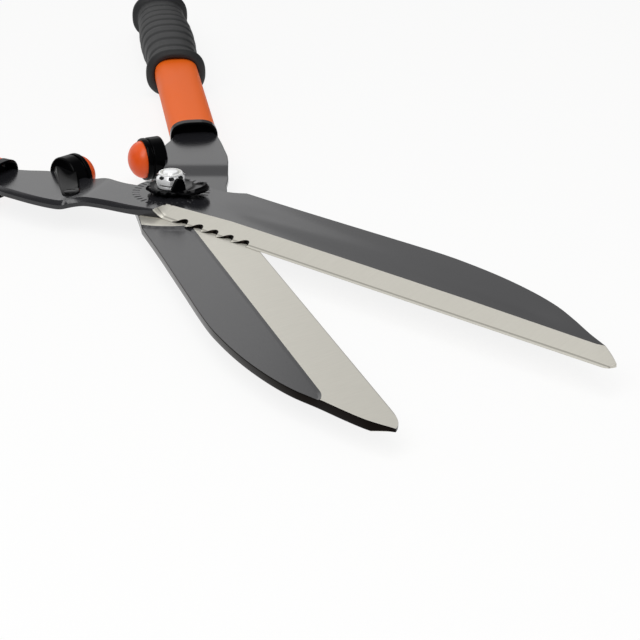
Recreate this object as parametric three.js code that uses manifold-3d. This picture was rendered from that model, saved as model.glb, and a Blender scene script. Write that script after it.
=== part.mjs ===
// Two-handed hedge shears, modelled open as they lie: millimetres, +Z up.
// The pivot axis is the Z axis. The origin is the flat underside of the bolt head on that axis, and +X
// runs from the pivot to the blade tips, midway between the blades.
// Each half is one forging of blade and arm. The lower half is the upper one turned over about X, with a
// plain edge in place of the gullets, so both halves are drawn by the same functions in a member frame:
// u along the cutting edge, v from the edge towards the back, z from the mating face outwards.

import * as THREE from 'three';
import { mergeVertices } from 'three/addons/utils/BufferGeometryUtils.js';
import Module from 'manifold-3d';

const wasm = await Module();
wasm.setup();

// Driving dimensions
const toothedReach = 262;        // pivot to the tip of the toothed blade
const plainReach = 257;          // pivot to the tip of the plain blade
const bladeWidth = 43.6;         // widest place, from cutting edge to back
const edgeOffset = 20.3;         // cutting edge to the pivot axis
const plateThickness = 4.2;      // forged plate of both members
const restHalfAngle = THREE.MathUtils.degToRad(15.05); // each blade from the X axis, as it lies
const armReach = 80;             // pivot to the mouth of the handle collar
const armSweep = 45.6;           // outermost edge of the arm from the pivot line
const handleOffset = 33.8;       // handle axis from the pivot line at the collar mouth
const handleSplay = THREE.MathUtils.degToRad(10.5); // handle axis from the cutting edge's direction
const handleLength = 228;        // collar mouth to the end of the grip
const tubeWidth = 23.4;          // oval handle tube, across
const tubeHeight = 18;           // oval handle tube, through
const boltDiameter = 8;          // pivot bolt shank

// Clearances and helpers
const seatGap = 0.3;             // between pieces that touch inside a turned group
const slideGap = 0.06;           // between faces that turn on each other
const overrun = 2;               // how far a cutter passes the solid it cuts

// Outline shapes, as shares of the named sizes
const bladeBackShares = [
  [0.108, 0.965], [0.229, 0.967], [0.382, 0.984], [0.534, 1], [0.61, 0.975], [0.687, 0.912],
  [0.76, 0.812], [0.82, 0.69], [0.87, 0.54], [0.92, 0.37], [0.965, 0.225], [0.988, 0.14],
];
const armInnerShares = [
  [0.309, 0.132], [0.39, 0.143], [0.48, 0.143], [0.54, 0.187], [0.65, 0.236], [0.75, 0.274],
  [0.84, 0.312], [0.895, 0.37], [0.955, 0.45],
];
const toothedArmShares = [
  [0.875, 0.996], [0.75, 0.985], [0.625, 0.963], [0.525, 0.934], [0.45, 0.899], [0.408, 0.868],
  [0.385, 0.82], [0.36, 0.774], [0.312, 0.721], [0.25, 0.678], [0.175, 0.64], [0.088, 0.605],
  [0.012, 0.57], [-0.078, 0.513], [-0.135, 0.472],
];
const plainArmShares = [
  [0.94, 0.976], [0.81, 0.956], [0.69, 0.928], [0.57, 0.899], [0.506, 0.873], [0.46, 0.853],
  [0.42, 0.829], [0.375, 0.807], [0.312, 0.772], [0.25, 0.743], [0.188, 0.702], [0.125, 0.658],
  [0.05, 0.624], [-0.04, 0.57], [-0.112, 0.505], [-0.15, 0.464],
];

// Forged member
const bossRadius = 19;           // round back of the boss on the pivot
const toothedBossAngle = THREE.MathUtils.degToRad(64); // where the round back starts
const plainBossAngle = THREE.MathUtils.degToRad(80);
const bossLastAngle = THREE.MathUtils.degToRad(193);
const toothedWaist = 3.2;        // dip of the back between boss and toothed blade
const plainRise = 1.2;           // the plain blade's back bulges there instead
const heelReach = 14;            // pivot to where the cutting edge starts
const toothedTipLength = 3.4;    // round at the end of the cutting edge
const plainTipLength = 15;
const tipRise = 4;
const tipCornerShare = 0.25;
const joggleStart = 31.4;        // pivot to the first bend of the plain arm, square to the bend
const joggleEnd = 42.4;          // pivot to its second bend
const toothedJoggleShift = 3.4;  // bends of the toothed arm lie this much farther out
const joggleTurn = THREE.MathUtils.degToRad(18.6); // bends are turned this far from square to u
const joggleDrop = plateThickness / 2;
const tangHalfWidth = 7;
const tangLength = 54;           // inside the handle, from the collar mouth
const shoulderDepth = 3;         // how far the full arm enters the collar
const shoulderHalfWidth = 10.2;
const draftWidth = 1.5;          // slope of the arm's outer side above mid-plate

// Ground faces
const edgeLand = 0.35;           // steel left standing at the cutting edge
const bevelShares = [                // along the edge, and how wide the bevel is there
  [0.036, 0.66], [0.18, 0.98], [0.42, 1], [0.69, 0.97], [0.95, 0.84], [1.02, 1.35],
];
const bevelWidth = 11.1;         // widest place of the ground bevel
const bevelRunOut = 3.4;         // slope of the bevel's first end
const stripWidth = 20.4;         // flat ground strip on the mating face
const padRadius = 33.5;          // flat ground pad round the pivot
const hollowDepth = 0.6;         // mating face behind strip and pad
const hollowEndShare = 0.862;
const hollowRound = 7;

// Gullets of the toothed blade
const gulletCount = 5;
const gulletPitch = 9.5;
const gulletDepth = 2.7;
const firstGulletReach = 28.3;   // pivot to the front end of the first gullet
const gulletShares = [
  [-0.82, 0], [-0.74, 0.18], [-0.5, 0.24], [-0.46, 0.58], [-0.4, 0.88], [-0.3, 1],
  [-0.2, 0.9], [-0.1, 0.5], [0, 0],
];

// Pivot hardware
const headHeight = 5.3;
const hexAcross = 13;            // across flats, bolt head and nut
const hexChamfer = 0.8;
const washerRadius = 9;
const washerThickness = 1.6;
const nutWasherRadius = 7.1;
const nutWasherThickness = 1.4;
const nutHeight = 5.4;
const nutCollarRadius = 5.7;
const nutShoulder = 1.4;         // height of the round collar that holds the insert
const insertRadius = 4.9;
const insertDepth = 1.4;
const boltEndProud = 0.4;        // bolt end above the nut
const nutTurn = THREE.MathUtils.degToRad(-18.8); // one flat of the nut faces this way in the member frame

// Lock plate
const lockThickness = 1.4;
const lockHubRadius = 8.4;       // raised hub under the plate
const lockHubRise = 1.4;
const lockPlateRadius = 10.8;
const lockNotchCount = 14;       // notches round the plate's rim
const lockNotchRadius = 1.1;
const lockTabHeight = 5.9;       // tab turned up against the nut
const lockTabHalfWidth = 2.9;
const lockTabShares = [[1, 0.6], [0.7, 0.88], [0, 1]]; // its rounded top, across and up
const lockEarReach = 12.2;       // pointed ear
const lockEarHalfWidth = 3.4;
const lockEarAngle = THREE.MathUtils.degToRad(-122);
const lockLeverReach = 19.6;     // broad lever with raised sides and an upturned end
const lockLeverRise = 0.9;
const lockLeverHalfWidth = 7.4;
const lockLeverLip = 1.7;
const lockLeverAngle = THREE.MathUtils.degToRad(14);
const serrationCount = 36;
const serrationInner = 14.8;
const serrationOuter = 18.4;
const serrationWidth = 0.7;
const serrationDepth = 0.3;

// Bumpers
const closedHalfAngle = THREE.MathUtils.degToRad(4.28); // each blade from the X axis, closed
const bumperShare = 0.731;       // dome seat, from the pivot along u, of the arm's reach
const bumperReach = armReach * bumperShare;
const toothedBumperSetBack = 4.7; // dome seat of the toothed member, behind the pivot line
const plainBumperSetBack = 1.4;
const domeRadius = 9.3;
const domeHeight = 7.3;
const holderRadius = 10.6;
const holderLength = 9.7;
const holderLip = 1.9;           // lip ring round the dome
const holderGroove = 1;          // groove behind the lip, wide and deep
const holderRound = 2.8;
const domeStemRadius = 5;
const domeStemLength = 3.2;
const lugHalfWidth = 5;          // lug of the arm inside the holder
const lugDepth = 4.4;
const footThickness = 2.2;
const footHalfWidth = 6.4;
const lipShare = 0.5125;         // end of the short lip on the arm's other face
const lipReach = armReach * lipShare;
const lipOffset = 12.6;
const lipThickness = 1.8;
const footBossRadius = 4.2;
const rivetShares = [0.4625, 0.65]; // rivet, of the arm's reach and sweep
const rivetReach = armReach * rivetShares[0];
const rivetOffset = armSweep * rivetShares[1];
const rivetShankRadius = 2;
const rivetHeadRadius = 3.5;
const rivetHeadHeight = 1.5;
const rivetCrownShare = 0.7;     // flat top of the head

// Handles
const collarProud = 0.3;         // collar outside the tube, each side
const collarLip = 5;             // collar in front of the tube
const collarWall = 1.2;
const collarSleeve = 16;         // collar inside the tube
const tubeWall = 1.3;
const coreLength = 40;
const gripLength = 120;
const gripHalfWidth = 14.4;
const gripFlange = 2;            // flange at each end of the grip
const gripFlangeLength = 7;
const gripWaist = 1;
const gripGrooves = 9;
const gripGrooveDepth = 0.7;
const gripGrooveShare = 0.2;     // each side of a groove, of the pitch
const capThickness = 3.2;
const capWall = 1.8;
const capPlugLength = 14;

// Facet counts
const roundFacets = 32;
const ovalFacets = 36;
const softFacets = 28;           // rubber and moulded pieces
const curveFacets = 3;

const steelPaint = new THREE.MeshStandardMaterial({ color: 0x6f6f73, roughness: 0.42, metalness: 0.35 });
const blackPlastic = new THREE.MeshStandardMaterial({ color: 0x17181a, roughness: 0.35, metalness: 0 });
const blackSteel = new THREE.MeshStandardMaterial({ color: 0x1c1c1e, roughness: 0.45, metalness: 0.6 });
const orangeRubber = new THREE.MeshStandardMaterial({ color: 0xe8552c, roughness: 0.35, metalness: 0 });
const orangePaint = new THREE.MeshStandardMaterial({ color: 0xee713c, roughness: 0.35, metalness: 0 });
const zincSteel = new THREE.MeshStandardMaterial({ color: 0xd9dadb, roughness: 0.2, metalness: 1 });
const nylon = new THREE.MeshStandardMaterial({ color: 0xd8d8d2, roughness: 0.5, metalness: 0 });

// A closed geometry becomes a solid once it holds only shared positions.
function solid(geometry) {
  const bare = geometry.clone();
  bare.deleteAttribute('normal');
  bare.deleteAttribute('uv');
  const merged = mergeVertices(bare);
  const triVerts = Uint32Array.from(merged.index.array);
  const vertProperties = Float32Array.from(merged.attributes.position.array);
  return new wasm.Manifold(new wasm.Mesh({ numProp: 3, vertProperties, triVerts }));
}

function geometryOf(manifold) {
  const mesh = manifold.getMesh();
  const geometry = new THREE.BufferGeometry();
  geometry.setAttribute('position', new THREE.Float32BufferAttribute(mesh.vertProperties, 3));
  geometry.setIndex(Array.from(mesh.triVerts));
  return geometry;
}

function named(name, manifold, material) {
  const mesh = new THREE.Mesh(geometryOf(manifold), material);
  mesh.name = name;
  return mesh;
}

function prism(shape, bottom, top) {
  const geometry = new THREE.ExtrudeGeometry(shape, {
    depth: top - bottom, bevelEnabled: false, curveSegments: curveFacets,
  });
  return solid(geometry.translate(0, 0, bottom));
}

function points(list) {
  return list.map(([x, y]) => new THREE.Vector2(x, y));
}

function polygon(list) {
  return new THREE.Shape(points(list));
}

function disc(radius, bottom, top, facets = roundFacets) {
  const geometry = new THREE.CylinderGeometry(radius, radius, top - bottom, facets);
  geometry.rotateX(Math.PI / 2);
  return solid(geometry.translate(0, 0, (top + bottom) / 2));
}

// A profile of [radius, height] pairs, closed on the axis, turned about Z.
function turned(profile, facets = roundFacets) {
  return solid(new THREE.LatheGeometry(points(profile), facets).rotateX(Math.PI / 2));
}

// The same profile made oval: radii across are kept, and every radius through is less by the same
// length, so that nested walls keep their gap all round.
function oval(profile, facets = ovalFacets) {
  const geometry = new THREE.LatheGeometry(points(profile), facets).rotateX(Math.PI / 2);
  const position = geometry.attributes.position;
  const least = (tubeWidth - tubeHeight) / 2;
  for (let index = 0; index < position.count; index += 1) {
    const radius = Math.hypot(position.getX(index), position.getY(index));
    const share = radius > least * 2 ? 1 - least / radius : 1 / 2;
    position.setY(index, position.getY(index) * share);
  }
  return solid(geometry);
}

// Rings of corners, one ring for each station, joined to a closed skin.
function loft(rings) {
  const size = rings[0].length;
  const position = rings.flat(2);
  const index = [];
  for (let ring = 0; ring + 1 < rings.length; ring += 1) {
    for (let corner = 0; corner < size; corner += 1) {
      const a = ring * size + corner;
      const b = ring * size + (corner + 1) % size;
      index.push(a, b, b + size, a, b + size, a + size);
    }
  }
  const last = (rings.length - 1) * size;
  for (let corner = 1; corner + 1 < size; corner += 1) {
    index.push(0, corner + 1, corner);
    index.push(last, last + corner, last + corner + 1);
  }
  const geometry = new THREE.BufferGeometry();
  geometry.setAttribute('position', new THREE.Float32BufferAttribute(position, 3));
  geometry.setIndex(index);
  return solid(geometry);
}

const handleAxis = [-Math.cos(handleSplay), -Math.sin(handleSplay)];
const handleSide = [Math.sin(handleSplay), -Math.cos(handleSplay)];

// A place in the member frame from one beside the handle: along its axis, then outwards.
function besideHandle(along, outwards) {
  return [
    -armReach + along * handleAxis[0] + outwards * handleSide[0],
    -handleOffset + along * handleAxis[1] + outwards * handleSide[1],
  ];
}

const armPoint = ([along, across]) => [-along * armReach, -across * armSweep];

function memberOutline({ reach, waist, bossAngle, tipLength, armShares }) {
  const back = bladeBackShares.map(([along, across]) => [along * reach, across * bladeWidth - edgeOffset]);
  const inner = armInnerShares.map(armPoint);
  const outer = armShares.map(armPoint);
  const bossStart = [bossRadius * Math.cos(bossAngle), bossRadius * Math.sin(bossAngle)];
  const dip = [(bossStart[0] + back[0][0]) / 2, bossStart[1] - waist];
  const shape = new THREE.Shape();
  shape.moveTo(heelReach, -edgeOffset);
  shape.lineTo(reach - tipLength, -edgeOffset);
  shape.quadraticCurveTo(reach - tipLength * tipCornerShare, -edgeOffset, reach, tipRise - edgeOffset);
  shape.splineThru(points([...back].reverse()));
  shape.quadraticCurveTo(...dip, ...bossStart);
  shape.absarc(0, 0, bossRadius, bossAngle, bossLastAngle, false);
  shape.splineThru(points([...inner, besideHandle(0, -shoulderHalfWidth)]));
  const tang = [
    besideHandle(shoulderDepth, -shoulderHalfWidth), besideHandle(shoulderDepth, -tangHalfWidth),
    besideHandle(tangLength, -tangHalfWidth), besideHandle(tangLength, tangHalfWidth),
    besideHandle(shoulderDepth, tangHalfWidth), besideHandle(shoulderDepth, shoulderHalfWidth),
    besideHandle(0, shoulderHalfWidth),
  ];
  for (const corner of tang) shape.lineTo(...corner);
  shape.splineThru(points([...outer, [heelReach, -edgeOffset]]));
  return shape;
}

// The plate seen from the side, flat at the blade and dropped by half its thickness at the arm,
// carried along the bends.
function joggledPlate({ reach, joggleShift }) {
  const far = -armReach - tangLength - armSweep - overrun;
  const near = reach + overrun + bladeWidth;
  const wide = armReach + tangLength + bladeWidth + armSweep;
  const start = -joggleStart - joggleShift;
  const end = -joggleEnd - joggleShift;
  const armTop = plateThickness - joggleDrop;
  const side = polygon([
    [far, -joggleDrop], [end, -joggleDrop], [start, 0], [near, 0], [near, plateThickness],
    [start, plateThickness], [end, armTop], [far, armTop],
  ]);
  const geometry = new THREE.ExtrudeGeometry(side, { depth: wide * 2, bevelEnabled: false });
  geometry.translate(0, 0, -wide).rotateX(Math.PI / 2).rotateZ(joggleTurn);
  return solid(geometry);
}

// How far the plate has dropped at a place in the outline.
function dropAt([u, v], joggleShift) {
  const along = -u * Math.cos(joggleTurn) - v * Math.sin(joggleTurn) - joggleStart - joggleShift;
  return joggleDrop * THREE.MathUtils.clamp(along / (joggleEnd - joggleStart), 0, 1);
}

// The forged slope along the arm's outer side: a wedge that follows the outline.
function draftCutter({ armShares, joggleShift }) {
  const corners = [...armShares].reverse().map(armPoint);
  corners.push(besideHandle(0, shoulderHalfWidth));
  const rings = corners.map((corner, index) => {
    const before = corners[Math.max(index - 1, 0)];
    const after = corners[Math.min(index + 1, corners.length - 1)];
    const length = Math.hypot(after[0] - before[0], after[1] - before[1]);
    const out = [-(after[1] - before[1]) / length, (after[0] - before[0]) / length];
    const fade = Math.min(index / (corners.length / 4), 1);
    const inward = draftWidth * fade;
    const middle = plateThickness * (1 - fade / 2);
    const slope = (plateThickness - middle) / Math.max(inward, draftWidth / plateThickness);
    const drop = dropAt(corner, joggleShift);
    const at = (share, height) => [corner[0] + out[0] * share, corner[1] + out[1] * share, height - drop];
    return [
      at(-inward, plateThickness), at(overrun, middle - slope * overrun),
      at(overrun, plateThickness + overrun), at(-inward, plateThickness + overrun),
    ];
  });
  return loft(rings);
}

// The ground bevel: everything above a plane that falls to the cutting edge.
function bevelCutter(reach) {
  const top = plateThickness + overrun;
  const edge = -edgeOffset;
  const rings = bevelShares.map(([along, across], station) => {
    const u = along * reach;
    const start = station === 0 ? bevelRunOut : 0;
    const width = across * bevelWidth;
    const fall = (plateThickness - edgeLand) / width;
    const out = width;
    return [
      [u + start * (1 + out / width), edge - out, edgeLand - fall * out],
      [u, edge + width, plateThickness],
      [u, edge + width, top],
      [u, edge - out, top],
    ];
  });
  return loft(rings);
}

function hollowCutter({ reach, bossAngle }) {
  const line = stripWidth - edgeOffset;
  const end = hollowEndShare * reach;
  const beyond = bladeWidth;
  const shape = new THREE.Shape();
  shape.moveTo(padRadius, line);
  shape.lineTo(end, line);
  shape.quadraticCurveTo(end + hollowRound, line, end + hollowRound, line + hollowRound);
  shape.lineTo(end + hollowRound, beyond);
  shape.lineTo(padRadius * Math.cos(bossAngle), beyond);
  shape.absarc(0, 0, padRadius, bossAngle, Math.asin(line / padRadius), true);
  return prism(shape, -overrun, hollowDepth);
}

function gulletCutter(index) {
  const front = firstGulletReach + index * gulletPitch;
  const rim = gulletShares.map(([along, deep]) => [
    front + along * gulletPitch, deep * gulletDepth - edgeOffset,
  ]);
  const shape = new THREE.Shape();
  shape.moveTo(rim[0][0], -edgeOffset - overrun);
  shape.lineTo(...rim[0]);
  shape.splineThru(points(rim.slice(1)));
  shape.lineTo(rim[rim.length - 1][0], -edgeOffset - overrun);
  return prism(shape, -overrun, plateThickness + overrun);
}

// Radial marks pressed into the outer face round the pivot.
function serrationCutters() {
  const half = serrationWidth / 2;
  const top = plateThickness + overrun;
  const floor = plateThickness - serrationDepth;
  const mark = loft([serrationInner, serrationOuter].map((radius) => [
    [radius, 0, floor], [radius, half, plateThickness], [radius, half, top],
    [radius, -half, top], [radius, -half, plateThickness],
  ]));
  const marks = [];
  for (let index = 0; index < serrationCount; index += 1) {
    marks.push(mark.rotate([0, 0, (index + 0.5) * 360 / serrationCount]));
  }
  return wasm.Manifold.union(marks);
}

const bumperTurn = -closedHalfAngle; // the dome's axis lies square to X when the blades close

function besideBumper(solidPiece, bumperSetBack) {
  return solidPiece.rotate([-90, 0, 0]).rotate([0, 0, THREE.MathUtils.radToDeg(bumperTurn)])
    .translate([-bumperReach, -bumperSetBack, 0]);
}

const boreRadius = boltDiameter / 2 + slideGap;

function memberSolid(member) {
  const low = -joggleDrop - overrun;
  const high = plateThickness + overrun;
  const lug = polygon([
    [-lugHalfWidth, -holderLength - lugDepth], [lugHalfWidth, -holderLength - lugDepth],
    [lugHalfWidth, -holderLength + lugDepth], [-lugHalfWidth, -holderLength + lugDepth],
  ]);
  const cupHalf = holderRadius + seatGap;
  const cupBack = -holderLength + lugDepth;
  const cupRoom = prism(polygon([
    [-cupHalf, cupBack], [cupHalf, cupBack], [cupHalf, armSweep], [-cupHalf, armSweep],
  ]), low - overrun, high + overrun);
  const atBumper = (piece) => piece.translate([-bumperReach, -member.bumperSetBack, 0]);
  let forging = prism(memberOutline(member), low, high).subtract(atBumper(cupRoom));
  forging = forging.add(atBumper(prism(lug, low, high)));
  forging = forging.intersect(joggledPlate(member));
  forging = forging.subtract(draftCutter(member));
  forging = forging.subtract(bevelCutter(member.reach));
  forging = forging.subtract(hollowCutter(member));
  forging = forging.subtract(disc(boreRadius, low, high, roundFacets * 2));
  const rivetHole = disc(rivetShankRadius + seatGap / 2, low, high, roundFacets / 2);
  return forging.subtract(rivetHole.translate([-rivetReach, -rivetOffset, 0]));
}

const plainMember = {
  reach: plainReach, waist: -plainRise, bossAngle: plainBossAngle, tipLength: plainTipLength,
  armShares: plainArmShares, joggleShift: 0, bumperSetBack: plainBumperSetBack,
};
const toothedMember = {
  reach: toothedReach, waist: toothedWaist, bossAngle: toothedBossAngle, tipLength: toothedTipLength,
  armShares: toothedArmShares, joggleShift: toothedJoggleShift, bumperSetBack: toothedBumperSetBack,
};

function toothedForging() {
  let forging = memberSolid(toothedMember);
  for (let index = 0; index < gulletCount; index += 1) {
    forging = forging.subtract(gulletCutter(index));
  }
  return forging.subtract(serrationCutters());
}

// Rubber dome on a stem that sits in the holder.
function bumperDome({ bumperSetBack }) {
  const profile = [[0, domeHeight]];
  const steps = softFacets / 4 + 1;
  for (let step = 1; step <= steps; step += 1) {
    const angle = Math.PI / 2 * step / steps;
    profile.push([domeRadius * Math.sin(angle), domeHeight * Math.cos(angle)]);
  }
  profile.push([domeStemRadius, 0], [domeStemRadius, -domeStemLength], [0, -domeStemLength]);
  return besideBumper(turned(profile.reverse(), softFacets), bumperSetBack);
}

// Black cup: lip ring, groove, round back, a slot for the arm's lug and a foot along the outer face.
function bumperHolder(member) {
  const { bumperSetBack } = member;
  const lipInner = domeRadius + seatGap;
  const grooveRadius = holderRadius - holderGroove;
  const grooveStart = -holderLip;
  const grooveEnd = grooveStart - holderGroove;
  const profile = [
    [0, -domeStemLength - seatGap], [domeStemRadius + seatGap, -domeStemLength - seatGap],
    [domeStemRadius + seatGap, -seatGap], [lipInner, -seatGap], [lipInner, holderGroove / 2],
    [holderRadius, holderGroove / 2], [holderRadius, grooveStart], [grooveRadius, grooveStart],
    [grooveRadius, grooveEnd], [holderRadius, grooveEnd],
  ];
  const steps = softFacets / 7;
  for (let step = 0; step <= steps; step += 1) {
    const angle = Math.PI / 2 * step / steps;
    profile.push([
      holderRadius - holderRound * (1 - Math.cos(angle)),
      -holderLength + holderRound * (1 - Math.sin(angle)),
    ]);
  }
  profile.push([0, -holderLength]);
  const cup = besideBumper(turned(profile.reverse(), softFacets), bumperSetBack);
  const armTop = plateThickness - joggleDrop;
  const backCentre = [-bumperReach, -bumperSetBack - holderLength + holderRound];
  const turn = Math.atan2(-rivetOffset - backCentre[1], -rivetReach - backCentre[0]);
  const foot = new THREE.Shape();
  foot.moveTo(backCentre[0] + footHalfWidth, backCentre[1]);
  foot.lineTo(backCentre[0] - footHalfWidth, backCentre[1]);
  foot.absarc(-rivetReach, -rivetOffset, footBossRadius, turn - Math.PI / 2, turn + Math.PI / 2, false);
  const footBottom = armTop + seatGap;
  const armBelow = joggledPlate(member).translate([0, 0, seatGap]);
  const footSolid = prism(foot, footBottom, footBottom + footThickness).subtract(armBelow);
  const slot = prism(polygon([
    [-bumperReach - bladeWidth, -bumperSetBack - holderLength - overrun],
    [-bumperReach + bladeWidth, -bumperSetBack - holderLength - overrun],
    [-bumperReach + bladeWidth, -bumperSetBack - holderLength + lugDepth + seatGap],
    [-bumperReach - bladeWidth, -bumperSetBack - holderLength + lugDepth + seatGap],
  ]), -joggleDrop - seatGap, armTop + seatGap);
  const hole = disc(rivetShankRadius + seatGap / 2, -overrun, plateThickness * 2, roundFacets / 2);
  const seat = -bumperSetBack;
  const lipShape = polygon([
    [-bumperReach - footHalfWidth, seat - holderLength / 2], [-bumperReach, seat - domeStemLength * 2],
    [-bumperReach + footHalfWidth, seat - domeStemLength * 2], [-lipReach, -lipOffset + lipThickness],
    [-lipReach - lipThickness, -lipOffset], [-bumperReach, -lipOffset],
  ]);
  const lipTop = -joggleDrop - seatGap;
  const lipSolid = prism(lipShape, lipTop - lipThickness, lipTop);
  const body = cup.add(footSolid).add(lipSolid).subtract(slot);
  return body.subtract(hole.translate([-rivetReach, -rivetOffset, 0]));
}

// Its head holds the foot; the other end is flush in the arm.
function bumperRivet() {
  const low = -joggleDrop + seatGap;
  const high = plateThickness - joggleDrop + footThickness + seatGap * 2;
  const crown = rivetHeadRadius * rivetCrownShare;
  const profile = [
    [0, low], [rivetShankRadius, low], [rivetShankRadius, high], [rivetHeadRadius, high],
    [crown, high + rivetHeadHeight], [0, high + rivetHeadHeight],
  ];
  return turned(profile, roundFacets / 2).translate([-rivetReach, -rivetOffset, 0]);
}

const tubeHalf = tubeWidth / 2;

// Flat slot along the handle's axis for the tang or the full arm.
function tangSlot(halfWidth, from, to) {
  const half = halfWidth + seatGap;
  const thick = plateThickness / 2 + seatGap;
  return prism(polygon([[-half, -thick], [half, -thick], [half, thick], [-half, thick]]), from, to);
}

function collar() {
  const outside = tubeHalf + collarProud;
  const mouth = outside - collarWall;
  const sleeve = tubeHalf - tubeWall - seatGap;
  const edge = collarWall / 2;
  const profile = [
    [0, collarLip - collarWall], [mouth - edge, collarLip - collarWall], [mouth, collarLip - collarWall * 2],
    [mouth, 0], [outside - edge / 2, 0], [outside, edge], [outside, collarLip - edge],
    [outside - edge / 2, collarLip], [sleeve, collarLip], [sleeve, collarLip + collarSleeve],
    [0, collarLip + collarSleeve],
  ];
  const body = oval(profile);
  return body.subtract(tangSlot(tangHalfWidth, -overrun, collarLip + collarSleeve + overrun));
}

function handleTube() {
  const from = collarLip + seatGap;
  const to = handleLength - seatGap;
  const shape = new THREE.Shape();
  shape.absellipse(0, 0, tubeHalf, tubeHeight / 2, 0, Math.PI * 2, false);
  const bore = new THREE.Path();
  bore.absellipse(0, 0, tubeHalf - tubeWall, tubeHeight / 2 - tubeWall, 0, Math.PI * 2, true);
  shape.holes.push(bore);
  const geometry = new THREE.ExtrudeGeometry(shape, {
    depth: to - from, bevelEnabled: false, curveSegments: ovalFacets / 2,
  });
  return solid(geometry.translate(0, 0, from));
}

function tangCore() {
  const from = collarLip + collarSleeve + seatGap;
  const half = tubeHalf - tubeWall - seatGap;
  const profile = [[0, from], [half, from], [half, from + coreLength], [0, from + coreLength]];
  const body = oval(profile);
  return body.subtract(tangSlot(tangHalfWidth, from - overrun, tangLength + seatGap));
}

function grip() {
  const from = handleLength - gripLength;
  const to = handleLength - seatGap;
  const bore = tubeHalf + seatGap;
  const crest = gripHalfWidth + gripFlange;
  const profile = [[bore, to], [bore, from], [gripHalfWidth, from], [crest, from + gripFlange]];
  profile.push([crest, from + gripFlangeLength - gripFlange]);
  const start = from + gripFlangeLength;
  const end = to - gripFlangeLength;
  const pitch = (end - start) / gripGrooves;
  const slope = pitch * gripGrooveShare;
  for (let index = 0; index < gripGrooves; index += 1) {
    const at = start + index * pitch;
    const middle = (index + 0.5) / gripGrooves;
    const waist = gripHalfWidth - gripWaist * Math.cos(Math.PI * 2 * middle);
    profile.push([waist - gripGrooveDepth, at], [waist, at + slope], [waist, at + pitch - slope]);
  }
  profile.push([gripHalfWidth - gripGrooveDepth, end], [crest, end + gripFlange], [crest, to - gripFlange]);
  profile.push([gripHalfWidth, to], [bore, to]);
  return oval(profile, softFacets);
}

function endCap() {
  const plug = tubeHalf - tubeWall - seatGap;
  const rim = gripHalfWidth - seatGap;
  const inner = plug - capWall;
  const foot = handleLength - capPlugLength;
  const profile = [
    [0, handleLength - capThickness], [inner, handleLength - capThickness], [inner, foot], [plug, foot],
    [plug, handleLength], [rim, handleLength], [rim, handleLength + capThickness / 2],
    [rim - capThickness, handleLength + capThickness], [0, handleLength + capThickness],
  ];
  return oval(profile, softFacets);
}

function hexShape(across) {
  const corners = [];
  for (let corner = 0; corner < 6; corner += 1) {
    const angle = (corner + 0.5) * Math.PI / 3;
    const radius = across / 2 / Math.cos(Math.PI / 6);
    corners.push([radius * Math.cos(angle), radius * Math.sin(angle)]);
  }
  return polygon(corners);
}

const matingHeight = headHeight + washerThickness + plateThickness + slideGap * 2;
const lockBottom = plateThickness + slideGap;
const lockTop = lockBottom + lockHubRise + lockThickness;
const nutBottom = lockTop + nutWasherThickness + slideGap * 2;

function pivotBolt() {
  const cornerRadius = hexAcross / 2 / Math.cos(Math.PI / 6);
  const headLow = -matingHeight;
  const cone = turned([
    [0, headLow], [cornerRadius - hexChamfer * 2, headLow], [cornerRadius, headLow + hexChamfer],
    [cornerRadius, headLow + headHeight], [0, headLow + headHeight],
  ]);
  const head = prism(hexShape(hexAcross), headLow, headLow + headHeight).intersect(cone);
  const end = nutBottom + nutHeight + boltEndProud;
  const shank = turned([
    [0, headLow + headHeight / 2], [boltDiameter / 2, headLow + headHeight / 2],
    [boltDiameter / 2, end - hexChamfer], [boltDiameter / 2 - hexChamfer, end], [0, end],
  ], roundFacets * 2);
  return head.add(shank);
}

function washer(radius, low, thickness) {
  const ring = disc(radius, low, low + thickness);
  return ring.subtract(disc(boreRadius + seatGap, low - overrun, low + thickness + overrun));
}

function pivotNut() {
  const cornerRadius = hexAcross / 2 / Math.cos(Math.PI / 6);
  const top = nutBottom + nutHeight;
  const shoulder = top - nutShoulder;
  const cone = turned([
    [0, nutBottom], [cornerRadius - hexChamfer, nutBottom], [cornerRadius, nutBottom + hexChamfer / 2],
    [cornerRadius, shoulder - hexChamfer], [nutCollarRadius + hexChamfer / 2, shoulder],
    [nutCollarRadius, top - hexChamfer], [nutCollarRadius - hexChamfer, top], [0, top],
  ], roundFacets);
  const hex = prism(hexShape(hexAcross), nutBottom, top).rotate([0, 0, THREE.MathUtils.radToDeg(nutTurn)]);
  const bore = disc(boreRadius + seatGap / 3, nutBottom - overrun, top + overrun, roundFacets);
  const seat = disc(insertRadius, top - insertDepth, top + overrun);
  return hex.intersect(cone).subtract(bore).subtract(seat);
}

function nutInsert() {
  const top = nutBottom + nutHeight - slideGap;
  const low = nutBottom + nutHeight - insertDepth + slideGap;
  const ring = disc(insertRadius - slideGap, low, top);
  return ring.subtract(disc(boreRadius + slideGap, low - overrun, top + overrun));
}

// A strap of the lock plate that follows a side profile, carried across its width, pointing along X.
function lockStrap(profile, halfWidth) {
  const geometry = new THREE.ExtrudeGeometry(polygon(profile), { depth: halfWidth * 2, bevelEnabled: false });
  return solid(geometry.translate(0, 0, -halfWidth).rotateX(Math.PI / 2));
}

function roundEnded(strap, reach, halfWidth) {
  const shape = new THREE.Shape();
  shape.moveTo(0, -halfWidth);
  shape.lineTo(reach - halfWidth, -halfWidth);
  shape.absarc(reach - halfWidth, 0, halfWidth, -Math.PI / 2, Math.PI / 2, false);
  shape.lineTo(0, halfWidth);
  return strap.intersect(prism(shape, 0, lockBottom + lockTabHeight + nutHeight));
}

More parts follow.
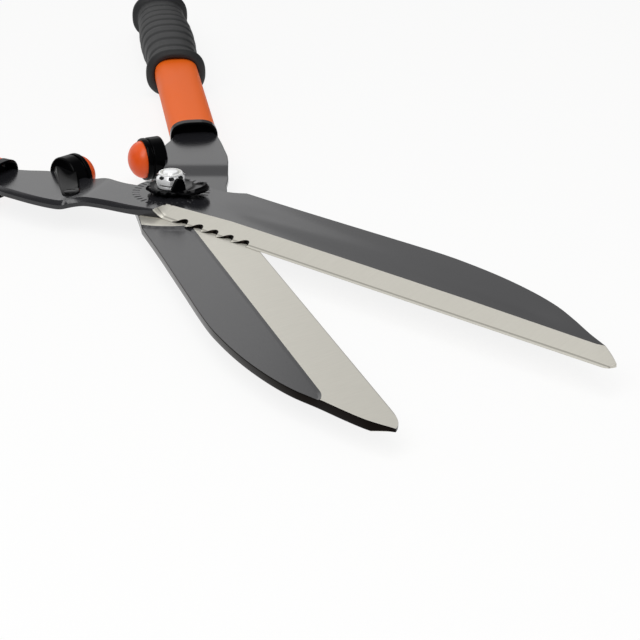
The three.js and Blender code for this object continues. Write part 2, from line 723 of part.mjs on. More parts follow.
function lockPlate() {
  const low = lockTop - lockThickness;
  const top = lockTop;
  const turnTo = (piece, angle) => piece.rotate([0, 0, THREE.MathUtils.radToDeg(angle)]);
  let plate = disc(lockPlateRadius, low, top).add(disc(lockHubRadius, lockBottom, top));
  for (let index = 0; index < lockNotchCount; index += 1) {
    const notch = disc(lockNotchRadius, low - overrun, top + overrun, roundFacets / 4);
    const place = index * Math.PI * 2 / lockNotchCount;
    plate = plate.subtract(turnTo(notch.translate([lockPlateRadius, 0, 0]), place));
  }
  const ear = prism(polygon([
    [0, -lockEarHalfWidth], [lockPlateRadius - lockThickness, -lockEarHalfWidth], [lockEarReach, 0],
    [lockPlateRadius - lockThickness, lockEarHalfWidth], [0, lockEarHalfWidth],
  ]), low, top);
  const end = top + lockLeverRise;
  const lever = lockStrap([
    [0, low], [lockPlateRadius, low], [lockLeverReach, low + lockLeverRise],
    [lockLeverReach, end + lockLeverLip], [lockLeverReach - lockThickness, end + lockLeverLip],
    [lockLeverReach - lockThickness * 2, end - lockThickness / 4], [lockPlateRadius - lockThickness / 2, top],
    [0, top],
  ], lockLeverHalfWidth);
  const tabInner = hexAcross / 2 + seatGap;
  const tab = lockStrap([
    [0, low], [tabInner + lockThickness, low], [tabInner + lockThickness, top + lockTabHeight],
    [tabInner, top + lockTabHeight], [tabInner, top], [0, top],
  ], lockTabHalfWidth);
  const tabSide = lockTabShares.map(([across, up]) => [across * lockTabHalfWidth, top + up * lockTabHeight]);
  const tabMirror = tabSide.slice(0, -1).reverse().map(([across, height]) => [-across, height]);
  const tabRound = prism(polygon([
    [-lockTabHalfWidth, low], [lockTabHalfWidth, low], ...tabSide, ...tabMirror,
  ]), 0, lockPlateRadius).rotate([90, 0, 90]);
  const clearOfWasher = (height) => disc(nutWasherRadius + seatGap, top, top + height);
  plate = plate.add(turnTo(ear, lockEarAngle));
  plate = plate.add(turnTo(roundEnded(lever, lockLeverReach, lockLeverHalfWidth), lockLeverAngle));
  plate = plate.subtract(clearOfWasher(lockTabHeight));
  const standing = turnTo(tab.intersect(tabRound), nutTurn);
  plate = plate.add(standing.subtract(clearOfWasher(nutWasherThickness + seatGap)));
  return plate.subtract(disc(boreRadius + seatGap / 2, lockBottom - overrun, top + overrun));
}

// One half: forging, bumper and handle, all in the member frame.
function half(prefix, member, forging) {
  const group = new THREE.Group();
  group.add(named(`${prefix}_blade`, forging, steelPaint));
  group.add(named(`${prefix}_bumper_dome`, bumperDome(member), orangeRubber));
  group.add(named(`${prefix}_bumper_holder`, bumperHolder(member), blackPlastic));
  group.add(named(`${prefix}_bumper_rivet`, bumperRivet(), blackSteel));
  const handle = new THREE.Group();
  const across = new THREE.Vector3(handleSide[0], handleSide[1], 0);
  const along = new THREE.Vector3(handleAxis[0], handleAxis[1], 0);
  const up = new THREE.Vector3(0, 0, 1);
  handle.setRotationFromMatrix(new THREE.Matrix4().makeBasis(across, up, along));
  handle.position.set(-armReach, -handleOffset, 0);
  handle.add(named(`${prefix}_collar`, collar(), blackPlastic));
  handle.add(named(`${prefix}_tube`, handleTube(), orangePaint));
  handle.add(named(`${prefix}_tang_core`, tangCore(), blackPlastic));
  handle.add(named(`${prefix}_grip`, grip(), blackPlastic));
  handle.add(named(`${prefix}_end_cap`, endCap(), blackPlastic));
  group.add(handle);
  return group;
}

const upperHalf = half('upper', toothedMember, toothedForging());
upperHalf.add(named('pivot_bolt', pivotBolt(), zincSteel));
const boltWasher = washer(washerRadius, headHeight - matingHeight + slideGap, washerThickness);
const nutWasher = washer(nutWasherRadius, lockTop + slideGap, nutWasherThickness);
upperHalf.add(named('bolt_washer', boltWasher, zincSteel));
upperHalf.add(named('nut_washer', nutWasher, zincSteel));
upperHalf.add(named('pivot_nut', pivotNut(), zincSteel));
upperHalf.add(named('nut_insert', nutInsert(), nylon));
upperHalf.add(named('lock_plate', lockPlate(), blackSteel));
upperHalf.position.set(0, 0, matingHeight);
upperHalf.rotation.set(0, 0, restHalfAngle);

const lowerHalf = half('lower', plainMember, memberSolid(plainMember));
lowerHalf.rotation.set(Math.PI, 0, 0);
const lowerTurn = new THREE.Group();
lowerTurn.add(lowerHalf);
lowerTurn.position.set(0, 0, matingHeight - slideGap);
lowerTurn.rotation.set(0, 0, -restHalfAngle);

const shears = new THREE.Group();
shears.add(upperHalf, lowerTurn);

export default shears;
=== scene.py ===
# Looks of the two-handed hedge shears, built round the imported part.
# Sizes are in millimetres until a mesh is made; the mesh itself is in metres, in the part's frame.
import math

import bpy
import numpy as np
from mathutils import Matrix, Vector, geometry as planeGeometry


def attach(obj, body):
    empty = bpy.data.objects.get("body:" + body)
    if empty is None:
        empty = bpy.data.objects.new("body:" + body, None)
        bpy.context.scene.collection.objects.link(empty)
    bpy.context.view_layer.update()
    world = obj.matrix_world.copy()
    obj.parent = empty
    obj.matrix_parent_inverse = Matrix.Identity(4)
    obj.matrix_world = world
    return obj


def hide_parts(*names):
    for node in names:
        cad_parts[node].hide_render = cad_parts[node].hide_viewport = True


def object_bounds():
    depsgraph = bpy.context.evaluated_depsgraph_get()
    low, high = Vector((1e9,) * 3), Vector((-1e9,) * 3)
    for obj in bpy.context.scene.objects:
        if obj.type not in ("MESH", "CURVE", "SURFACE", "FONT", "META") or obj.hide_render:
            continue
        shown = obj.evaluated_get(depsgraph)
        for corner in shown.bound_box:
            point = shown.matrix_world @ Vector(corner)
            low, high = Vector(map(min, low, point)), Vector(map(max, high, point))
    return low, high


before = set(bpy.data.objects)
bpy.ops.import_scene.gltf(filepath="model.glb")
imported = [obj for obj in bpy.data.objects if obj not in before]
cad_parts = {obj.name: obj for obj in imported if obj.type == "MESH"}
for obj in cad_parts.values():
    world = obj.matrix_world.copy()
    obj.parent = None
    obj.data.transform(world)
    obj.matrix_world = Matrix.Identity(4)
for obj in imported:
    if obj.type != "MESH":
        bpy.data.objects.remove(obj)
cadLow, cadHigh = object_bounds()
print("stage: frame loaded,", len(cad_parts), "nodes")

metresPerMillimetre = 0.001

# Places that all pieces share, as in the part
shears = dict(
    restHalfAngle=math.radians(15.05),      # each blade from the X axis as they lie
    closedHalfAngle=math.radians(4.28),
    matingHeight=11.22,                     # mating face of the toothed member
    slideGap=0.06,
    edgeLine=-20.3,                         # cutting edge, from the pivot axis
    bladeWidth=43.6,
    plateTop=4.2,
    armReach=80,
    armSweep=45.6,
    handleOffset=33.8,
    handleSplay=math.radians(10.5),
    tubeWidth=23.4,
    handleLength=228,
    boreRadius=4.06,
)
plateTop = shears["plateTop"]
edgeLine = shears["edgeLine"]
armReach = shears["armReach"]
handleLength = shears["handleLength"]


# Catmull-Rom: each span is the cubic whose end slopes are half the chord across its neighbours.
def splineThrough(corners, steps):
    p = np.asarray(corners, float)
    padded = np.vstack([p[:1], p, p[-1:]])
    t = np.linspace(0, 1, steps, endpoint=False)[None, :, None]
    before, start, end, after = (padded[k:len(p) - 1 + k, None, :] for k in range(4))
    leave, arrive = (end - before) / 2, (after - start) / 2
    span = ((2 * start - 2 * end + leave + arrive) * t ** 3
            + (-3 * start + 3 * end - 2 * leave - arrive) * t ** 2 + leave * t + start)
    return np.vstack([span.reshape(-1, p.shape[1]), p[-1:]])


# A parabola from start to end, pulled towards the control point.
def bowThrough(start, control, end, steps):
    t = np.linspace(0, 1, steps + 1)[:, None]
    start, control, end = (np.asarray(p, float) for p in (start, control, end))
    return (1 - t) ** 2 * start + 2 * t * (1 - t) * control + t ** 2 * end


def fullTurn(count):
    return np.linspace(0, 2 * math.pi, count, endpoint=False)


def arcPoints(centre, radius, first, last, steps):
    angle = np.linspace(first, last, steps + 1)
    return np.asarray(centre, float) + radius * np.column_stack([np.cos(angle), np.sin(angle)])


# An open line with no step longer than the spacing; its last point is left to the next line.
def denser(points, spacing):
    start, move = points[:-1], np.diff(points, axis=0)
    count = np.maximum(np.ceil(np.linalg.norm(move, axis=1) / spacing).astype(int), 1)
    rank = np.arange(count.sum()) - np.repeat(np.cumsum(count) - count, count)
    return np.repeat(start, count, 0) + np.repeat(move / count[:, None], count, 0) * rank[:, None]


# Each inner corner of a line gives way to a small curve that meets both its sides, with a close point
# beyond each end, so that the flats stay flat in the light.
def eased(corners, trim, steps=5):
    p = np.asarray(corners, float)
    line = [p[:1]]
    for before, corner, after in zip(p[:-2], p[1:-1], p[2:]):
        back, ahead = before - corner, after - corner
        short = min(np.linalg.norm(back), np.linalg.norm(ahead))
        cut = min(trim, short * 0.4)
        back, ahead = back / np.linalg.norm(back), ahead / np.linalg.norm(ahead)
        curve = bowThrough(corner + back * cut, corner, corner + ahead * cut, steps)
        line += [corner + back * cut * 1.2, curve, corner + ahead * cut * 1.2]
    line.append(p[-1:])
    return np.vstack([np.atleast_2d(part) for part in line])


# Even-odd rule, for many points at once.
def insideLoop(points, loop):
    x, y = points[:, :1], points[:, 1:2]
    (x0, y0), (x1, y1) = loop.T, np.roll(loop, -1, 0).T
    rise = np.where(y1 == y0, 1, y1 - y0)
    crosses = ((y0 > y) != (y1 > y)) & (x < x0 + (y - y0) * (x1 - x0) / rise)
    return crosses.sum(1) % 2 == 1


# From 0 at the start to 1 a run further on.
def ramp(value, start, run):
    return np.clip((value - start) / run, 0, 1)


def distanceTo(points, loop):
    return np.sqrt(((points[:, None, :] - loop[None, :, :]) ** 2).sum(2)).min(1)


# Rows and columns of points joined to triangles; closed ways join the last to the first.
def gridTriangles(rows, columns, closedRows, closedColumns):
    i = np.arange(rows if closedRows else rows - 1)[:, None]
    j = np.arange(columns if closedColumns else columns - 1)[None, :]
    a, b = i * columns + j, (i + 1) % rows * columns + j
    c, d = (i + 1) % rows * columns + (j + 1) % columns, i * columns + (j + 1) % columns
    return np.concatenate([np.stack([a, b, c], -1), np.stack([a, c, d], -1)], 2).reshape(-1, 3)


def gridSurface(points, closedRows=False, closedColumns=True):
    rows, columns = points.shape[:2]
    return points.reshape(-1, 3), gridTriangles(rows, columns, closedRows, closedColumns)


# Several surfaces as one list of points and triangles.
def together(*surfaces):
    starts = np.cumsum([0] + [len(points) for points, _ in surfaces])
    return (np.vstack([points for points, _ in surfaces]),
            np.vstack([triangles + start for (_, triangles), start in zip(surfaces, starts)]))


# Points closer than the rounding become one, and triangles that lose a side go.
def welded(points, triangles):
    rounded, place = np.unique(np.round(points, 5), axis=0, return_inverse=True)
    triangles = place.reshape(-1)[triangles]
    a, b, c = triangles.T
    keep = (a != b) & (b != c) & (c != a)
    return rounded, triangles[keep], keep


def outwards(points, triangles):
    a, b, c = ((points - points.mean(0))[triangles[:, k]] for k in range(3))
    return triangles if np.einsum("ij,ij->i", a, np.cross(b, c)).sum() > 0 else triangles[:, ::-1]


# Closed surfaces that overlap, each turned to face outwards before they are joined
def closedParts(*surfaces):
    return together(*[(points, outwards(points, triangles)) for points, triangles in surfaces])


def addObject(name, data):
    made = bpy.data.objects.new(name, data)
    bpy.context.scene.collection.objects.link(made)
    return made


# Makes the Blender piece: points in millimetres in the part's frame, and the CAD nodes it stands for.
def makePiece(name, surface, body, material, replaced=(), crease=17, faceValues=None):
    points, triangles, keep = welded(*surface)
    triangles = outwards(points, triangles)
    mesh = bpy.data.meshes.new(name)
    mesh.vertices.add(len(points))
    mesh.vertices.foreach_set("co", (points * metresPerMillimetre).astype(np.float32).ravel())
    mesh.loops.add(triangles.size)
    mesh.loops.foreach_set("vertex_index", triangles.astype(np.int32).ravel())
    mesh.polygons.add(len(triangles))
    mesh.polygons.foreach_set("loop_start", np.arange(0, triangles.size, 3, dtype=np.int32))
    mesh.update(calc_edges=True)
    for key, values in (faceValues or {}).items():
        attribute = mesh.attributes.new(key, "FLOAT", "FACE")
        attribute.data.foreach_set("value", values[keep].astype(np.float32))
    mesh.shade_smooth()
    mesh.set_sharp_from_angle(angle=math.radians(crease))
    mesh.materials.append(material)
    piece = addObject(name, mesh)
    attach(piece, body)
    if replaced:
        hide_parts(*replaced)
    return piece


# From a member's own frame to the part's: u along the edge, v to the back, z out from the mating face.
def inPart(points, side):
    u, v, z = np.asarray(points, float).T
    cos, sin = math.cos(shears["restHalfAngle"]), math.sin(shears["restHalfAngle"])
    lift = shears["matingHeight"] + (z if side > 0 else -z - shears["slideGap"])
    return np.column_stack([u * cos - v * sin, side * (u * sin + v * cos), lift])


splay = shears["handleSplay"]
alongHandle = np.array([-math.cos(splay), -math.sin(splay), 0])
acrossHandle = np.array([math.sin(splay), -math.cos(splay), 0])
handleMouth = np.array([-armReach, -shears["handleOffset"], 0])


def besideHandle(along, outside):
    return (handleMouth + along * alongHandle + outside * acrossHandle)[:2]


# From the handle's frame, with Z along the tube and Y up, to the member's.
def onHandle(points):
    x, y, z = points.T
    return handleMouth + x[:, None] * acrossHandle + y[:, None] * [0, 0, 1] + z[:, None] * alongHandle


# Linear light from an sRGB hex colour.
def toLinear(hexColour):
    value = np.array([int(hexColour[k:k + 2], 16) for k in (1, 3, 5)]) / 255
    linear = np.where(value <= 0.04045, value / 12.92, ((value + 0.055) / 1.055) ** 2.4)
    return (*linear.tolist(), 1)


# Adds a shader node with its settings and its inputs, by name or as i and a number. A value may be a socket,
# or a node, which then stands for its first output in use.
def addNode(tree, kind, settings=None, **inputs):
    node = tree.nodes.new(kind)
    for key, value in (settings or {}).items():
        setattr(node, key, value)
    for key, value in inputs.items():
        numbered = key[0] == "i" and key[1:].isdigit()
        socket = node.inputs[int(key[1:]) if numbered else key.replace("_", " ")]
        if isinstance(value, bpy.types.Node):
            value = next(output for output in value.outputs if output.enabled)
        if isinstance(value, bpy.types.NodeSocket):
            tree.links.new(value, socket)
        else:
            socket.default_value = value
    return node


def newMaterial(name):
    material = bpy.data.materials.new(name)
    material.use_nodes = True
    material.node_tree.nodes.clear()
    return material, material.node_tree


# Object coordinates in millimetres, turned to lie along a member or handle.
def objectPlace(tree, turn=0.0, scale=(1, 1, 1)):
    return addNode(tree, "ShaderNodeMapping", Vector=addNode(tree, "ShaderNodeTexCoord").outputs["Object"],
                   Rotation=(0, 0, turn), Scale=[s / metresPerMillimetre for s in scale])


# A mix has its factor at i0 and its numbers at i2 and i3, or with this setting its colours at i6 and i7
colourMix = dict(data_type="RGBA")

# Drop-forged carbon steel under grey lacquer, with flat-ground faces. The lacquer is satin and a little
# uneven from spraying; the ground faces are bright, with fine lines square to the edge.
forging = dict(
    lacquer="#222225", lacquerDeep="#1d1d20", lacquerRoughness=0.19, roughnessSpread=(-0.04, 0.05),
    lacquerIor={1: 1.5, -1: 1.43},       # by side: the plain member's coat is a little duller
    ground="#d2cfc5", groundDeep="#c7c4ba", groundRoughness=0.36, groundMetal=0.55,
    scaleAndShadeColour="#15110f",               # black forge scale in gullets and on the plain back, also painted shade for the dark gaps there
    cloudSize=26, grainSize=0.9,         # millimetres
    lineSpacing=0.5, lineLength=9,       # real lines are about 0.05 apart, too fine to show
    # Darker line of the honed edge: its tone, and its distance from the edge and half width by side
    honed="#a3a097", honedPlace={1: 1.2, -1: 0.05}, honedHalf={1: 0.35, -1: 0.3},
    bumpStrength=0.12, bumpHeight=0.00006,
)


def forgedSteel(name, side):
    material, tree = newMaterial(name)
    tone = {key: toLinear(value) for key, value in forging.items() if isinstance(value, str)}
    turn = -side * shears["restHalfAngle"]
    place = objectPlace(tree, turn)
    cloud = addNode(tree, "ShaderNodeTexNoise", Vector=place, Scale=1 / forging["cloudSize"], Detail=3.0)
    grain = addNode(tree, "ShaderNodeTexNoise", Vector=place, Scale=1 / forging["grainSize"], Detail=2.0)
    closely, slowly = 1 / forging["lineSpacing"], 1 / forging["lineLength"]
    lines = addNode(tree, "ShaderNodeTexNoise", Scale=1.0, Detail=2.0,
                    Vector=objectPlace(tree, turn, (closely, slowly, slowly)))
    ground, scale = (addNode(tree, "ShaderNodeAttribute", dict(attribute_name=key)).outputs["Fac"]
                     for key in ("ground", "forgeScaleAndShade"))
    lacquer = addNode(tree, "ShaderNodeMix", colourMix, i0=cloud, i6=tone["lacquerDeep"], i7=tone["lacquer"])
    # Black forge scale, which also stands as painted shade for the dark gaps, on the faces so flagged
    lacquer = addNode(tree, "ShaderNodeMix", colourMix, i0=scale, i6=lacquer, i7=tone["scaleAndShadeColour"])
    bright = addNode(tree, "ShaderNodeMix", colourMix, i0=lines, i6=tone["groundDeep"], i7=tone["ground"])
    onLine = addNode(tree, "ShaderNodeMath", dict(operation="COMPARE"),
                     i0=addNode(tree, "ShaderNodeSeparateXYZ", i0=place).outputs["Y"],
                     i1=side * (edgeLine + forging["honedPlace"][side]), i2=forging["honedHalf"][side])
    bright = addNode(tree, "ShaderNodeMix", colourMix, i0=onLine, i6=bright, i7=tone["honed"])
    colour = addNode(tree, "ShaderNodeMix", colourMix, i0=ground, i6=lacquer, i7=bright)
    low, high = (forging["lacquerRoughness"] + change for change in forging["roughnessSpread"])
    uneven = addNode(tree, "ShaderNodeMapRange", Value=grain, To_Min=low, To_Max=high)
    roughness = addNode(tree, "ShaderNodeMix", i0=ground, i2=uneven, i3=forging["groundRoughness"])
    bump = addNode(tree, "ShaderNodeBump", Strength=forging["bumpStrength"], Distance=forging["bumpHeight"],
                   Height=addNode(tree, "ShaderNodeMix", i0=ground, i2=grain, i3=lines))
    metal = addNode(tree, "ShaderNodeMath", dict(operation="MULTIPLY"), i0=ground, i1=forging["groundMetal"])
    metal = addNode(tree, "ShaderNodeMix", i0=scale, i2=metal, i3=1.0)
    shader = addNode(tree, "ShaderNodeBsdfPrincipled", Base_Color=colour, Roughness=roughness, Metallic=metal,
                     IOR=forging["lacquerIor"][side], Normal=bump)
    addNode(tree, "ShaderNodeOutputMaterial", Surface=shader)
    return material


# A finish of one colour that varies a little: a cloudy tone, and a fine bump of a real grain size.
def evenFinish(name, colour, deep, roughness, metallic=0.0, cloudSize=8.0, grainSize=0.4, bumpHeight=0.00003,
               bumpStrength=0.3, spread=0.06, ior=1.5, paintedShade=None):
    material, tree = newMaterial(name)
    place = objectPlace(tree)
    cloud = addNode(tree, "ShaderNodeTexNoise", Vector=place, Scale=1 / cloudSize, Detail=3.0)
    grain = addNode(tree, "ShaderNodeTexNoise", Vector=place, Scale=1 / grainSize, Detail=2.0)
    tone = addNode(tree, "ShaderNodeMix", colourMix, i0=cloud, i6=toLinear(deep), i7=toLinear(colour))
    # Faces flagged by the attribute take the colour of painted shade
    if paintedShade:
        mark = addNode(tree, "ShaderNodeAttribute", dict(attribute_name="paintedShade")).outputs["Fac"]
        tone = addNode(tree, "ShaderNodeMix", colourMix, i0=mark, i6=tone, i7=toLinear(paintedShade))
    uneven = addNode(tree, "ShaderNodeMapRange", Value=cloud, To_Min=roughness - spread,
                     To_Max=roughness + spread)
    bump = addNode(tree, "ShaderNodeBump", Strength=bumpStrength, Distance=bumpHeight, Height=grain)
    shader = addNode(tree, "ShaderNodeBsdfPrincipled", Base_Color=tone, Roughness=uneven, Metallic=metallic,
                     IOR=ior, Normal=bump)
    addNode(tree, "ShaderNodeOutputMaterial", Surface=shader)
    return material


finishes = dict(
    # Zinc-plated steel: turned, bright and slightly blue; the near-black is painted shade on the nut's dents
    # and chamfer
    zincPlatedSteel=dict(colour="#fafafa", deep="#f2f3f4", roughness=0.3, metallic=0.5, cloudSize=3.0,
                         grainSize=0.3, paintedShade="#141416"),
    # Nylon ring of a self-locking nut: moulded, milky, waxy
    mouldedNylon=dict(colour="#dcdcd6", deep="#d0d0c9", roughness=0.42, cloudSize=2.0),
    # Black lacquered sheet steel: pressed, glossy, pools of lacquer in the corners
    blackLacqueredSteel=dict(colour="#050506", deep="#030304", roughness=0.1, cloudSize=3.0, grainSize=0.7,
                             spread=0.02, ior=1.2),
    # Glass-filled nylon: moulded black, glossy skin
    mouldedBlackNylon=dict(colour="#060607", deep="#040405", roughness=0.09, cloudSize=6.0, spread=0.02,
                           ior=1.13),
    # Natural rubber: moulded orange dome, satin
    mouldedOrangeRubber=dict(colour="#ef5c18", deep="#ea5614", roughness=0.36, cloudSize=5.0, ior=1.45),
    # Oval steel tube under orange lacquer: smooth, slight orange peel
    orangeLacqueredTube=dict(colour="#f26a18", deep="#ee6514", roughness=0.5, cloudSize=30.0, grainSize=1.2,
                             ior=1.25),
    # Thermoplastic rubber: moulded black grip, matt with a fine spark-eroded grain
    mouldedGripRubber=dict(colour="#1a1b1d", deep="#131415", roughness=0.62, cloudSize=12.0, grainSize=0.5,
                           bumpHeight=0.00012),
)
upperSteel = forgedSteel("lacqueredForgedSteelUpper", 1)
lowerSteel = forgedSteel("lacqueredForgedSteelLower", -1)
finish = {name: evenFinish(name, **values) for name, values in finishes.items()}
print("stage: finishes")

# Toothed and plain members: outline shares as in the part
member = dict(
    backShares=[[0.108, 0.965], [0.229, 0.967], [0.382, 0.984], [0.534, 1], [0.61, 0.975], [0.687, 0.912],
                [0.76, 0.812], [0.82, 0.69], [0.87, 0.54]],
    innerShares=[[0.309, 0.132], [0.39, 0.143], [0.48, 0.143], [0.54, 0.187], [0.65, 0.236], [0.75, 0.274],
                 [0.84, 0.312], [0.895, 0.37], [0.955, 0.45]],
    bevelShares=[[0.036, 0.66], [0.18, 0.98], [0.42, 1], [0.69, 0.97], [0.95, 0.84], [1.02, 1.35]],
    bossRadius=19, bossLast=math.radians(193), heelReach=14, tipRise=4, tipCornerShare=0.25,
    joggleStart=31.4, joggleEnd=42.4, joggleTurn=math.radians(18.6), joggleDrop=2.1, joggleEase=1.5,
    tangHalfWidth=7, tangLength=54, shoulderDepth=3, shoulderHalfWidth=10.2,
    edgeLand=0.35, smallBevel=1.3, smallBevelDrop=0.22, bevelWidth=11.1, bevelStart=9.7, bevelRunOut=4.5,
    grooveDepth=0.5, grooveShares=(0.08, 0.78), grooveFrom=26, grooveRunOut=30, grooveEndShare=0.9,
    stripWidth=20.4, padRadius=33.5, hollowDepth=0.6, hollowEndShare=0.845, hollowRound=13, hollowSlope=1.3,
    padEase=0.5,                         # the hollow rises to the pad this much more gently
    padLast=(-14, -6, 0.4),              # the ground pad ends at this u and at a slanted line
    wideSpacing=3.5, bendSpacing=1.1, bendArea=((-58, -50), (-18, 5)),
    lugHalfWidth=5, lugDepth=4.4,
    # Rims: plain width, width and depth along the arm, width on the mating face and at the cutting edge
    rimWidth=0.45, armRim=(1.5, 2.1), armSlope=0.8, matingRim=0.35, keenRim=0.06,
    rimSteps=6, rimSupport=0.25, fullSupport=0.4, tipNarrow=4, scatterClear=0.6, lineClear=0.2,
    leastStep=0.08, cornerTurn=0.6, cornerClear=1.1,
)
bumper = dict(reach=58.48, holderLength=9.7, holderRadius=10.6, domeRadius=9.3, domeHeight=7.3,
              plugRadius=5, plugDepth=3.2, clearance=0.15, grooveFrom=1.9, grooveTo=3.0, grooveDepth=1.0,
              rivet=(-37, -29.64), footBossRadius=4.2, footThickness=1.2,
              backRound=1.1, footSweep=3.0, sweepHeight=3.0, footInset=1.5, footNarrower=0.5,
              rivetHead=3.1, rivetRise=0.6, rivetRadius=2, rivetLow=-1.7, rivetSeat=2.2)
toothedMember = dict(
    side=1, reach=262, waist=3.2, bossFirst=math.radians(64), tipLength=4.6, joggleShift=3.4,
    bumperSetBack=4.7, gullets=5, serrations=36,
    tipShares=[[0.92, 0.37], [0.965, 0.235], [0.986, 0.16]],
    armShares=[[0.875, 0.996], [0.75, 0.985], [0.625, 0.963], [0.525, 0.934], [0.45, 0.899], [0.408, 0.868],
               [0.385, 0.82], [0.36, 0.774], [0.312, 0.721], [0.25, 0.678], [0.175, 0.64], [0.088, 0.605],
               [0.012, 0.57], [-0.078, 0.513], [-0.135, 0.472]],
)
plainMember = dict(
    side=-1, reach=257, waist=-1.2, bossFirst=math.radians(80), tipLength=15, joggleShift=0,
    bumperSetBack=1.4, gullets=0, serrations=0,
    tipShares=[[0.92, 0.4], [0.957, 0.285], [0.982, 0.18], [0.994, 0.12]],
    armShares=[[0.94, 0.976], [0.81, 0.956], [0.69, 0.928], [0.57, 0.899], [0.506, 0.873], [0.46, 0.853],
               [0.42, 0.829], [0.375, 0.807], [0.312, 0.772], [0.25, 0.743], [0.188, 0.702], [0.125, 0.658],
               [0.05, 0.624], [-0.04, 0.57], [-0.112, 0.505], [-0.15, 0.464]],
)
gullet = dict(
    pitch=9.5, depth=2.5, firstReach=28.3,
    shares=[[-0.84, 0], [-0.76, 0.14], [-0.62, 0.24], [-0.52, 0.42], [-0.42, 0.72], [-0.3, 0.94], [-0.19, 1],
            [-0.1, 0.84], [-0.04, 0.45], [0, 0]],
    slant=0.8, lean=2.0, slopeShare=0.9, wall=0.12,
)
serration = dict(inner=14.8, outer=18.4, halfWidth=0.45, depth=0.5,
                 # Points that draw them: radii, asides in half widths, and the band kept free of others
                 radii=[14.2, 14.8, 15.3, 16, 16.9, 17.8, 18.4, 19], asides=[-2.2, -1, -0.5, 0, 0.5, 1, 2.2],
                 band=(13.6, 19.6))


# The outline, anticlockwise, as named stretches. Each point knows its stretch and how far along it lies.
def memberOutline(kind):
    reach, tipLength = kind["reach"], kind["tipLength"]
    back = np.array(member["backShares"] + kind["tipShares"]) * [reach, shears["bladeWidth"]] + [0, edgeLine]
    inner, outer = (np.array(shares) * [-armReach, -shears["armSweep"]]
                    for shares in (member["innerShares"], kind["armShares"]))
    heel = np.array([member["heelReach"], edgeLine])
    tipStart = np.array([reach - tipLength, edgeLine])
    bossStart = member["bossRadius"] * np.array([math.cos(kind["bossFirst"]), math.sin(kind["bossFirst"])])
    dip = [(bossStart[0] + back[0][0]) / 2, bossStart[1] - kind["waist"]]
    stretches = []
    start = heel
    for index in range(kind["gullets"]):
        front = gullet["firstReach"] + index * gullet["pitch"]
        rim = np.array(gullet["shares"]) * [gullet["pitch"], gullet["depth"]] + [front, edgeLine]
        stretches += [("edge", np.array([start, rim[0]])), ("gullet", splineThrough(rim, 8))]
        start = rim[-1]
    tipControl = [reach - tipLength * member["tipCornerShare"], edgeLine]
    tip = bowThrough(tipStart, tipControl, [reach, edgeLine + member["tipRise"]], 12)
    boss = arcPoints((0, 0), member["bossRadius"], kind["bossFirst"], member["bossLast"], 48)
    stretches += [("edge", np.array([start, tipStart])), ("edge", tip),
                  ("back", splineThrough([tip[-1], *back[::-1]], 12)),
                  ("boss", bowThrough(back[0], dip, bossStart, 12)), ("boss", boss)]
    shoulder, tangHalf = member["shoulderHalfWidth"], member["tangHalfWidth"]
    step, end = member["shoulderDepth"], member["tangLength"]
    corners = [(0, shoulder), (step, shoulder), (step, tangHalf), (end, tangHalf)]
    tang = np.array([besideHandle(along, -beside) for along, beside in corners]
                    + [besideHandle(along, beside) for along, beside in corners[::-1]])
    line = splineThrough([boss[-1], *inner, tang[0]], 10)
    # The lug under the bumper, as far as it stands out from the arm
    front, rear = (-bumper["reach"] + half for half in (member["lugHalfWidth"], -member["lugHalfWidth"]))
    lugTop = -kind["bumperSetBack"] - bumper["holderLength"] + member["lugDepth"]
    near, far = (np.interp(place, line[::-1, 0], line[::-1, 1]) for place in (front, rear))
    lug = [[front, min(near, lugTop)], [front, lugTop], [rear, lugTop], [rear, min(far, lugTop)]]
    line = np.vstack([line[line[:, 0] > front], lug, line[line[:, 0] < rear]])
    outer = splineThrough([tang[-1], *outer, heel], 10)
    stretches += [("armInner", line), ("tang", tang), ("armOuter", outer)]
    spacing = dict(edge=0.8, gullet=0.25, back=0.8, boss=0.6, armInner=0.7, tang=0.8, armOuter=0.7)
    lines = [denser(points, spacing[name]) for name, points in stretches]
    label = np.concatenate([np.full(len(points), name) for points, (name, _) in zip(lines, stretches)])
    share = np.concatenate([np.arange(len(points)) / len(points) for points in lines])
    outline = np.vstack(lines)
    apart = np.linalg.norm(outline - np.roll(outline, 1, 0), axis=1) > member["leastStep"]
    outline, label, share = outline[apart], label[apart], share[apart]
    # Points beside an outer corner go, because the rim inside them would fold over
    ahead = np.roll(outline, -1, 0) - outline
    heading = np.arctan2(ahead[:, 1], ahead[:, 0])
    turn = (heading - np.roll(heading, 1) + math.pi) % (2 * math.pi) - math.pi
    sharp = np.isin(label, ["edge", "gullet"])
    corners = outline[(turn > member["cornerTurn"]) & ~sharp]
    fromCorner = np.linalg.norm(outline[:, None] - corners[None], axis=2).min(1)
    kept = (fromCorner < 1e-9) | (fromCorner > member["cornerClear"]) | sharp
    return outline[kept], label[kept], share[kept]


# How far the plate has dropped at the arm's bends: a ramp with eased ends.
def dropAt(kind, u, v):
    turn, ease = member["joggleTurn"], member["joggleEase"]
    length = member["joggleEnd"] - member["joggleStart"]
    x = -u * math.cos(turn) - v * math.sin(turn) - member["joggleStart"] - kind["joggleShift"]
    ramp = (np.sqrt(x ** 2 + ease ** 2) - np.sqrt((x - length) ** 2 + ease ** 2) + length) / 2
    return member["joggleDrop"] * ramp / length


def bevelLine(kind, u):
    shares = np.array(member["bevelShares"])
    return edgeLine + member["bevelWidth"] * np.interp(u / kind["reach"], shares[:, 0], shares[:, 1])


